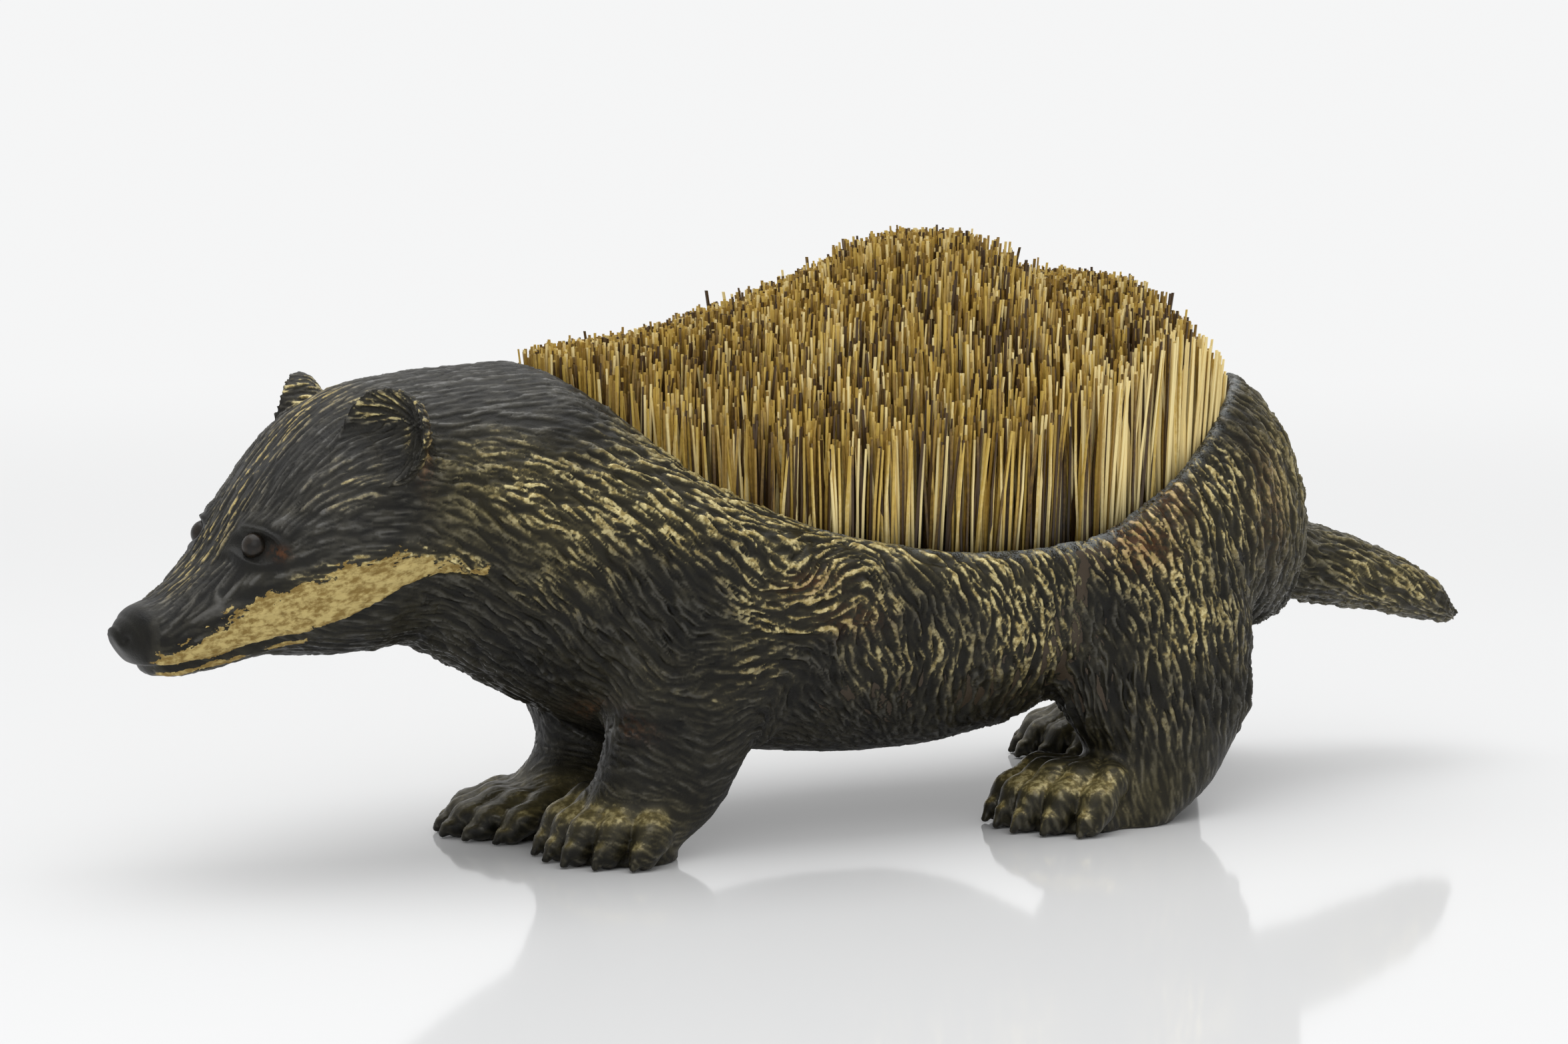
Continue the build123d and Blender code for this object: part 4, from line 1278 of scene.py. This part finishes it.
class Bench:
    """A material's node tree, with one call for each thing that a paint needs."""

    def __init__(self, name: str) -> None:
        """Start a material with its own coordinates in metres."""
        self.material = bpy.data.materials.new(name)
        self.material.use_nodes = True
        self.tree = self.material.node_tree
        self.shader = self.tree.nodes["Principled BSDF"]
        self.place = self.node("ShaderNodeTexCoord", {}, {}, "Object")

    def node(self, kind: str, settings: dict, inputs: dict, output: int | str = 0) -> Tap:
        """Any node: its settings first, then its sockets' values or links.

        Args:
            kind: the node's type.
            settings: attributes of the node.
            inputs: socket name or number to value or Tap.
            output: socket to return.

        Returns:
            The chosen output.
        """
        made = self.tree.nodes.new(kind)
        for key, value in settings.items():
            setattr(made, key, value)
        for key, value in inputs.items():
            self.feed(made.inputs[key], value)
        return Tap(self, made.outputs[output])

    def feed(self, socket: bpy.types.NodeSocket, value: "Tap | float | Sequence[float]") -> None:
        """Link a Tap to a socket, or set the socket's own value."""
        if isinstance(value, Tap):
            self.tree.links.new(value.socket, socket)
        elif isinstance(value, (tuple, list)) and len(value) == 3 and socket.type == "RGBA":
            socket.default_value = (*value, 1.0)
        else:
            socket.default_value = value

    def mask(self, name: str) -> Tap:
        """Number stored on the vertices."""
        return self.node("ShaderNodeAttribute", {"attribute_name": name}, {}, "Fac")

    def noise(
        self, size: float, detail: float = 3.0, roughness: float = 0.55, place: "Tap | None" = None,
    ) -> Tap:
        """Noise whose features are about size mm across."""
        return self.node("ShaderNodeTexNoise", {}, {
            "Vector": place or self.place, "Scale": 1.0 / (size * MM), "Detail": detail,
            "Roughness": roughness,
        }, "Fac")

    def mix(self, share: "Tap | float", a: "Tap | Sequence[float]", b: "Tap | Sequence[float]") -> Tap:
        """Colour between a at 0 and b at 1."""
        made = self.tree.nodes.new("ShaderNodeMix")
        made.data_type = "RGBA"
        for socket, value in zip((made.inputs[0], made.inputs[6], made.inputs[7]), (share, a, b)):
            self.feed(socket, value)
        return Tap(self, made.outputs[2])

    def times(self, colour: Tap, share: Tap) -> Tap:
        """Colour darkened by a number."""
        return self.node("ShaderNodeVectorMath", {"operation": "SCALE"}, {0: colour, "Scale": share})

    def finish(self, colour: "Tap | Sequence[float]", roughness: "Tap | float", metallic: "Tap | float" = 0.0,
               bump: "Tap | None" = None, depth: float = 0.1) -> bpy.types.Material:
        """Feed the shader and hand over the material. The bump's depth is in mm."""
        self.feed(self.shader.inputs["Base Color"], colour)
        self.feed(self.shader.inputs["Roughness"], roughness)
        self.feed(self.shader.inputs["Metallic"], metallic)
        if bump is not None:
            values = {"Height": bump, "Strength": 1.0, "Distance": depth * MM}
            normal = self.node("ShaderNodeBump", {}, values)
            self.feed(self.shader.inputs["Normal"], normal)
        return self.material


@dataclass(frozen=True)
class ColdPaint:
    """Cold-painted bronze: dark paint with painted shade in the cuts, gilt, olive, grey paint that is partly
    painted sheen, and rust on the hair, chipped cream.
    """

    black: Row = (0.009, 0.0085, 0.0065)
    brown: Row = (0.031, 0.028, 0.018)
    olive: Row = (0.135, 0.112, 0.045)
    # Grey paint; on the top of the neck it is partly painted sheen.
    slate_and_sheen: Row = (0.125, 0.122, 0.114)
    gilt: Row = (0.36, 0.27, 0.085)
    pale_gilt: Row = (0.72, 0.61, 0.29)
    rust: Row = (0.30, 0.10, 0.022)
    cream: Row = (0.25, 0.165, 0.045)
    pale_cream: Row = (0.56, 0.44, 0.175)
    worn: Row = (0.17, 0.18, 0.18)
    sheen: float = 0.2

    def make(self) -> bpy.types.Material:
        """The material."""
        b = Bench("painted_bronze")
        ridge, gilt, olive, slate_and_sheen, rust, cream, crown, rim, nose = (
            b.mask(n) for n in ("ridge", "gilt", "olive", "slate_and_sheen", "rust", "cream", "crown", "rim", "nose"))
        broad, medium, fine, grit = b.noise(7.0), b.noise(1.6, 4.0), b.noise(0.55, 3.0), b.noise(0.16, 2.0)
        high = (ridge + 0.35 * (fine - 0.5)).fade(0.25, 0.6)
        colour = b.mix((broad * 0.6 + medium * 0.4).fade(0.4, 0.62), self.black, self.brown)
        colour = b.mix(high * 0.5, colour, self.brown)
        mossy = (olive + 0.6 * gilt) * (0.35 + 0.65 * high) * (medium + 0.35).fade(0.4, 0.8)
        colour = b.mix(mossy, colour, self.olive)
        # Grey paint, stronger on the ridges: partly painted sheen.
        colour = b.mix(slate_and_sheen * (0.3 + 0.6 * high), colour, self.slate_and_sheen)
        # Painted shade: the cuts between the strokes are darkened and the ridges left at full colour.
        colour = b.times(colour, 0.36 + 0.64 * ridge.fade(0.02, 0.35))
        touched = (gilt * 1.15 + 0.6 * (medium - 0.5) + 0.6 * (broad - 0.5)).fade(0.15, 0.7)
        tips = (ridge + 0.45 * (fine - 0.5)).fade(0.28, 0.56)
        metal = touched * tips
        colour = b.mix(metal, colour, b.mix(fine.fade(0.42, 0.62), self.gilt, self.pale_gilt))
        colour = b.mix(rust * (0.25 + 0.75 * high) * fine.fade(0.35, 0.6), colour, self.rust)
        stripe = crown * (ridge + 0.6 * (fine - 0.5)).fade(0.3, 0.6)
        colour = b.mix(stripe, colour, b.mix(fine, self.gilt, self.pale_cream))
        along = b.node("ShaderNodeMapping", {"vector_type": "TEXTURE"},
                       {"Vector": b.place, "Rotation": (0.0, -0.35, 0.0), "Scale": (3.2, 1.0, 1.0)})
        flakes, brushed = b.noise(1.2, 5.0, 0.62, along), b.noise(0.5, 4.0, 0.65, along)
        chips = (cream + 2.6 * (flakes - 0.5) + 0.7 * (fine - 0.5)).fade(0.46, 0.5) * cream.fade(0.02, 0.15)
        body = (2.2 * (brushed - 0.5) + 0.9 * (fine - 0.5) + 0.3 * ridge + 0.4 * cream).fade(0.1, 0.75)
        colour = b.mix(chips, colour, b.mix(body, self.cream, self.pale_cream))
        scuffed = rim * (grit * 0.5 + medium * 0.5).fade(0.44, 0.56)
        colour = b.mix(scuffed, colour, self.worn)
        colour = b.mix(nose, colour, self.black)
        roughness = 0.3 + 0.2 * medium + 0.2 * chips - 0.06 * metal
        b.shader.inputs["Specular IOR Level"].default_value = self.sheen
        b.shader.inputs["Coat Roughness"].default_value = 0.22
        polished = (ridge + 0.3 * (fine - 0.5)).fade(0.3, 0.65)
        b.feed(b.shader.inputs["Coat Weight"], 0.75 * polished * (1.0 - chips))
        return b.finish(colour, roughness, 0.45 * metal, fine * 0.5 + grit * 0.5 + medium * 0.6, 0.06)


@dataclass(frozen=True)
class Straw:
    """Natural bristle: straw, ochre, brown and pale cream strands, darker towards the root as painted shade
    deep among the bristles.
    """

    dark: Row = (0.06, 0.030, 0.007)
    ochre: Row = (0.37, 0.225, 0.040)
    straw: Row = (0.68, 0.475, 0.105)
    pale: Row = (0.96, 0.79, 0.37)

    def make(self) -> bpy.types.Material:
        """The material."""
        b = Bench("bristle")
        shade, run = b.mask("shade"), b.mask("run")
        streak = b.noise(0.5, 2.0)
        spread = 1.0 + 0.9 * (1.0 - run.fade(0.6, 1.0))
        tone = 0.5 + (shade - 0.5) * spread + 0.25 * (streak - 0.5)
        colour = b.mix(tone.fade(0.15, 0.45), self.dark, self.ochre)
        colour = b.mix(tone.fade(0.42, 0.66), colour, self.straw)
        colour = b.mix(tone.fade(0.68, 0.9), colour, self.pale)
        # Painted shade: each bristle darkens towards its root, where the others shade it.
        colour = b.times(colour, 0.25 + 0.75 * run.fade(0.12, 0.6))
        return b.finish(colour, 0.45)


@dataclass(frozen=True)
class Bead:
    """Dark glossy eye."""

    colour: Row = (0.010, 0.008, 0.006)
    brown: Row = (0.02, 0.014, 0.009)

    def make(self) -> bpy.types.Material:
        """The material."""
        b = Bench("eye_bead")
        b.shader.inputs["Specular IOR Level"].default_value = 0.3
        colour = b.mix(b.noise(0.8).fade(0.4, 0.6), self.colour, self.brown)
        return b.finish(colour, 0.24 + 0.1 * b.noise(0.5))


@dataclass(frozen=True)
class Board:
    """Wood of the brush stock."""

    light: Row = (0.30, 0.17, 0.075)
    dark: Row = (0.13, 0.065, 0.028)

    def make(self) -> bpy.types.Material:
        """The material: rings along X from stretched noise."""
        b = Bench("stock_wood")
        grain = b.node("ShaderNodeMapping", {}, {"Vector": b.place, "Scale": (0.08, 1.0, 1.0)})
        rings = b.node("ShaderNodeTexNoise", {}, {"Vector": grain, "Scale": 900.0, "Detail": 5.0}, "Fac")
        colour = b.mix(rings.fade(0.35, 0.65), self.light, self.dark)
        return b.finish(colour, 0.5 + 0.25 * rings, 0.0, rings, 0.05)


@dataclass(frozen=True)
class Pitch:
    """Black brush pitch, dull and lumpy."""

    colour: Row = (0.012, 0.010, 0.009)

    def make(self) -> bpy.types.Material:
        """The material."""
        b = Bench("brush_pitch")
        lumps = b.noise(1.2, 4.0)
        return b.finish(b.mix(lumps, self.colour, (0.035, 0.028, 0.02)), 0.35 + 0.3 * lumps, 0.0, lumps, 0.25)


@dataclass(frozen=True)
class PlainBronze:
    """Bare bronze of the dowels and of the well's inside, toned brown by age."""

    bright: Row = (0.34, 0.20, 0.085)
    toned: Row = (0.055, 0.038, 0.022)

    def make(self, name: str, age: float) -> bpy.types.Material:
        """The material under a name, with more age for darker bronze."""
        b = Bench(name)
        cloudy = b.noise(3.0, 4.0) * 0.6 + b.noise(0.5) * 0.4
        shade = (cloudy + (age - 0.5)).fade(0.3, 0.7)
        return b.finish(b.mix(shade, self.bright, self.toned), 0.35 + 0.35 * cloudy, 0.9 - 0.6 * shade,
                        b.noise(0.5), 0.05)


# Studio


@dataclass
class Studio:
    """Camera, pale glossy table and soft lamps."""

    azimuth: float = -30.0
    elevation: float = 6.37
    distance: float = 416.8
    target: Row = (-6.03, 0.0, 28.63)
    lens: float = 100.0
    table_size: float = 6.0
    table: Row = (0.84, 0.845, 0.85)
    table_ior: float = 1.3
    horizon: Row = (0.12, 0.55)
    sky: float = 0.72
    backdrop: Row = (0.915, 0.918, 0.92)

    def camera(self) -> None:
        """Camera at the photograph's angle, which looks at the target."""
        a, e = np.radians(self.azimuth), np.radians(self.elevation)
        back = np.array([np.sin(a) * np.cos(e), -np.cos(a) * np.cos(e), np.sin(e)])
        data = bpy.data.cameras.new("camera")
        data.lens, data.sensor_width, data.clip_start, data.clip_end = self.lens, 36.0, 0.01, 20.0
        camera = bpy.data.objects.new("camera", data)
        camera.location = (np.array(self.target) + self.distance * back) * MM
        camera.rotation_euler = (np.pi / 2 - e, 0.0, a)
        bpy.context.scene.collection.objects.link(camera)
        bpy.context.scene.camera = camera

    def stage(self) -> None:
        """Flat glossy table top, which turns into the plain backdrop far from the object."""
        half = 500.0 * self.table_size
        corners = np.array([(i * half, j * half, -0.02) for i, j in ((-1, -1), (1, -1), (1, 1), (-1, 1))])
        floor = mesh_object("table_top", corners, np.array([[0, 1, 2, 3]]), smooth=False)
        b = Bench("table_gloss")
        b.shader.inputs["IOR"].default_value = self.table_ior
        material = b.finish(self.table, 0.07)
        away = b.node("ShaderNodeVectorMath", {"operation": "LENGTH"}, {0: b.place}, "Value")
        seen = b.node("ShaderNodeLightPath", {}, {}, "Is Camera Ray")
        glow = b.node("ShaderNodeEmission", {}, {"Color": self.backdrop, "Strength": 1.0})
        gloss = Tap(b, b.shader.outputs[0])
        both = b.node("ShaderNodeMixShader", {}, {0: away.fade(*self.horizon) * seen, 1: gloss, 2: glow})
        b.feed(b.tree.nodes["Material Output"].inputs["Surface"], both)
        floor.data.materials.append(material)

    def lamp(self, name: str, place: Row, size: float, power: float) -> None:
        """Square soft lamp that looks at the target. The place is in metres."""
        data = bpy.data.lights.new(name, "AREA")
        data.size, data.energy = size, power
        lamp = bpy.data.objects.new(name, data)
        aim = np.array(self.target) * MM - np.array(place)
        flat = np.hypot(aim[0], aim[1])
        lamp.location = place
        lamp.rotation_euler = (np.arctan2(flat, -aim[2]), 0.0, np.arctan2(aim[1], aim[0]) - np.pi / 2)
        bpy.context.scene.collection.objects.link(lamp)

    def world(self) -> None:
        """Even light from all round, which the camera sees as the pale backdrop."""
        world = bpy.data.worlds.new("room")
        bpy.context.scene.world = world
        world.use_nodes = True
        tree = world.node_tree
        nodes, links = tree.nodes, tree.links
        nodes.clear()
        path, out = nodes.new("ShaderNodeLightPath"), nodes.new("ShaderNodeOutputWorld")
        lit, seen = nodes.new("ShaderNodeBackground"), nodes.new("ShaderNodeBackground")
        mix = nodes.new("ShaderNodeMixShader")
        lit.inputs[0].default_value = (1.0, 1.0, 1.0, 1.0)
        lit.inputs[1].default_value = self.sky
        seen.inputs[0].default_value = (*self.backdrop, 1.0)
        links.new(path.outputs["Is Camera Ray"], mix.inputs[0])
        links.new(lit.outputs[0], mix.inputs[1])
        links.new(seen.outputs[0], mix.inputs[2])
        links.new(mix.outputs[0], out.inputs[0])

    def light(self) -> None:
        """World and lamps."""
        self.world()
        self.lamp("top_softbox", (0.0, 0.05, 0.7), 0.8, 3.0)
        self.lamp("front_softbox", (-0.45, -0.6, 0.55), 0.6, 0.9)
        self.lamp("rear_softbox", (0.6, 0.3, 0.6), 0.6, 0.4)


# Assembly


@dataclass
class PenWipe:
    """The whole object: castings, eyes and brush, each on its CAD body."""

    badger: Badger = field(default_factory=Badger)
    paint: Callable[[], bpy.types.Material] = ColdPaint().make

    def dress(
        self, piece: bpy.types.Object, finish: bpy.types.Material, body: str, node: str,
    ) -> None:
        """Give a piece its finish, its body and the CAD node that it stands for.

        Args:
            piece: the mesh.
            finish: its material.
            body: body that it moves with.
            node: CAD node that it replaces.
        """
        piece.data.materials.append(finish)
        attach(piece, body)
        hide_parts(node)
        log.info("%s: %d faces", piece.name, len(piece.data.polygons))

    def castings(self) -> None:
        """Build every casting, dress it and let it stand for its CAD node."""
        coat = self.paint()
        inside = PlainBronze().make("well_bronze", 0.85)
        for casting in Casting:
            piece = self.badger.build(casting)
            finish = inside if casting is Casting.WELL_LINING else coat
            own_node = casting.value[0].endswith("_casting")
            node = casting.name.lower() if own_node else "trunk"
            self.dress(piece, finish, "badger", node)

    def eyes(self) -> None:
        """Glossy beads set in the lids, each a whole round form sunk in its socket."""
        finish = Bead().make()
        u, v = np.meshgrid(np.linspace(0.0, np.pi, 17), np.linspace(0.0, 2.0 * np.pi, 33)[:-1], indexing="ij")
        unit_points = np.stack([np.sin(u) * np.cos(v), np.sin(u) * np.sin(v), np.cos(u)], axis=-1)
        face = self.badger.face
        for side, name in ((-1.0, "left_eye"), (1.0, "right_eye")):
            centre = np.array([face.eye[0] + face.eye_back, side * self.eye_depth(), face.eye[1]])
            points = (unit_points * face.eye_radius).reshape(-1, 3) + centre
            rows, columns = u.shape
            i, j = np.meshgrid(np.arange(rows - 1), np.arange(columns), indexing="ij")
            here, there = i * columns + j, i * columns + (j + 1) % columns
            quads = np.stack([here, here + columns, there + columns, there], axis=-1).reshape(-1, 4)
            piece = mesh_object(name + "_bead", points, quads)
            self.weld(piece)
            self.dress(piece, finish, "badger", name)

    def eye_depth(self) -> float:
        """How far out the bead's centre lies, sunk below the skin so that it just shows in its lids."""
        x, z = self.badger.face.eye
        ys = np.linspace(2.0, 12.0, 400)
        skin = self.badger.body.field(np.full(400, x), ys, np.full(400, z))
        return float(np.interp(0.0, skin, ys)) - self.badger.face.eye_sunk

    def weld(self, piece: bpy.types.Object) -> None:
        """Merge the doubled points at the poles."""
        shell = bmesh.new()
        shell.from_mesh(piece.data)
        bmesh.ops.remove_doubles(shell, verts=shell.verts, dist=1e-7)
        bmesh.ops.recalc_face_normals(shell, faces=shell.faces)
        shell.to_mesh(piece.data)
        shell.free()

    def brush(self) -> None:
        """Bristles in three fields, with the stock, the pitch and the dowels kept as the CAD has them."""
        brush = Brush(self.badger.well)
        strands = brush.strands()
        finish = Straw().make()
        low, high = brush.borders
        for name, start, end in (("front", -99.0, low), ("crest", low, high), ("rear", high, 99.0)):
            piece = brush.build(f"{name}_bristle_field", start, end, strands)
            self.dress(piece, finish, "brush", f"{name}_bristles")
        plain = PlainBronze().make("plain_bronze", 0.4)
        for node, material in (("brush_stock", Board().make()), ("pitch_bed", Pitch().make()),
                               ("neck_dowel", plain), ("tail_dowel", plain)):
            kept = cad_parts[node]
            kept.data.materials.clear()
            kept.data.materials.append(material)
            log.info("%s: CAD solid kept", node)


def main() -> None:
    """Build the studio and the object."""
    logging.basicConfig(level=logging.INFO, format="%(name)s: %(message)s")
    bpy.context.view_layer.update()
    studio = Studio()
    studio.camera()
    studio.stage()
    studio.light()
    wipe = PenWipe()
    wipe.castings()
    wipe.eyes()
    wipe.brush()
    bpy.context.scene.view_settings.view_transform = "Standard"


if __name__ == "__main__":
    main()
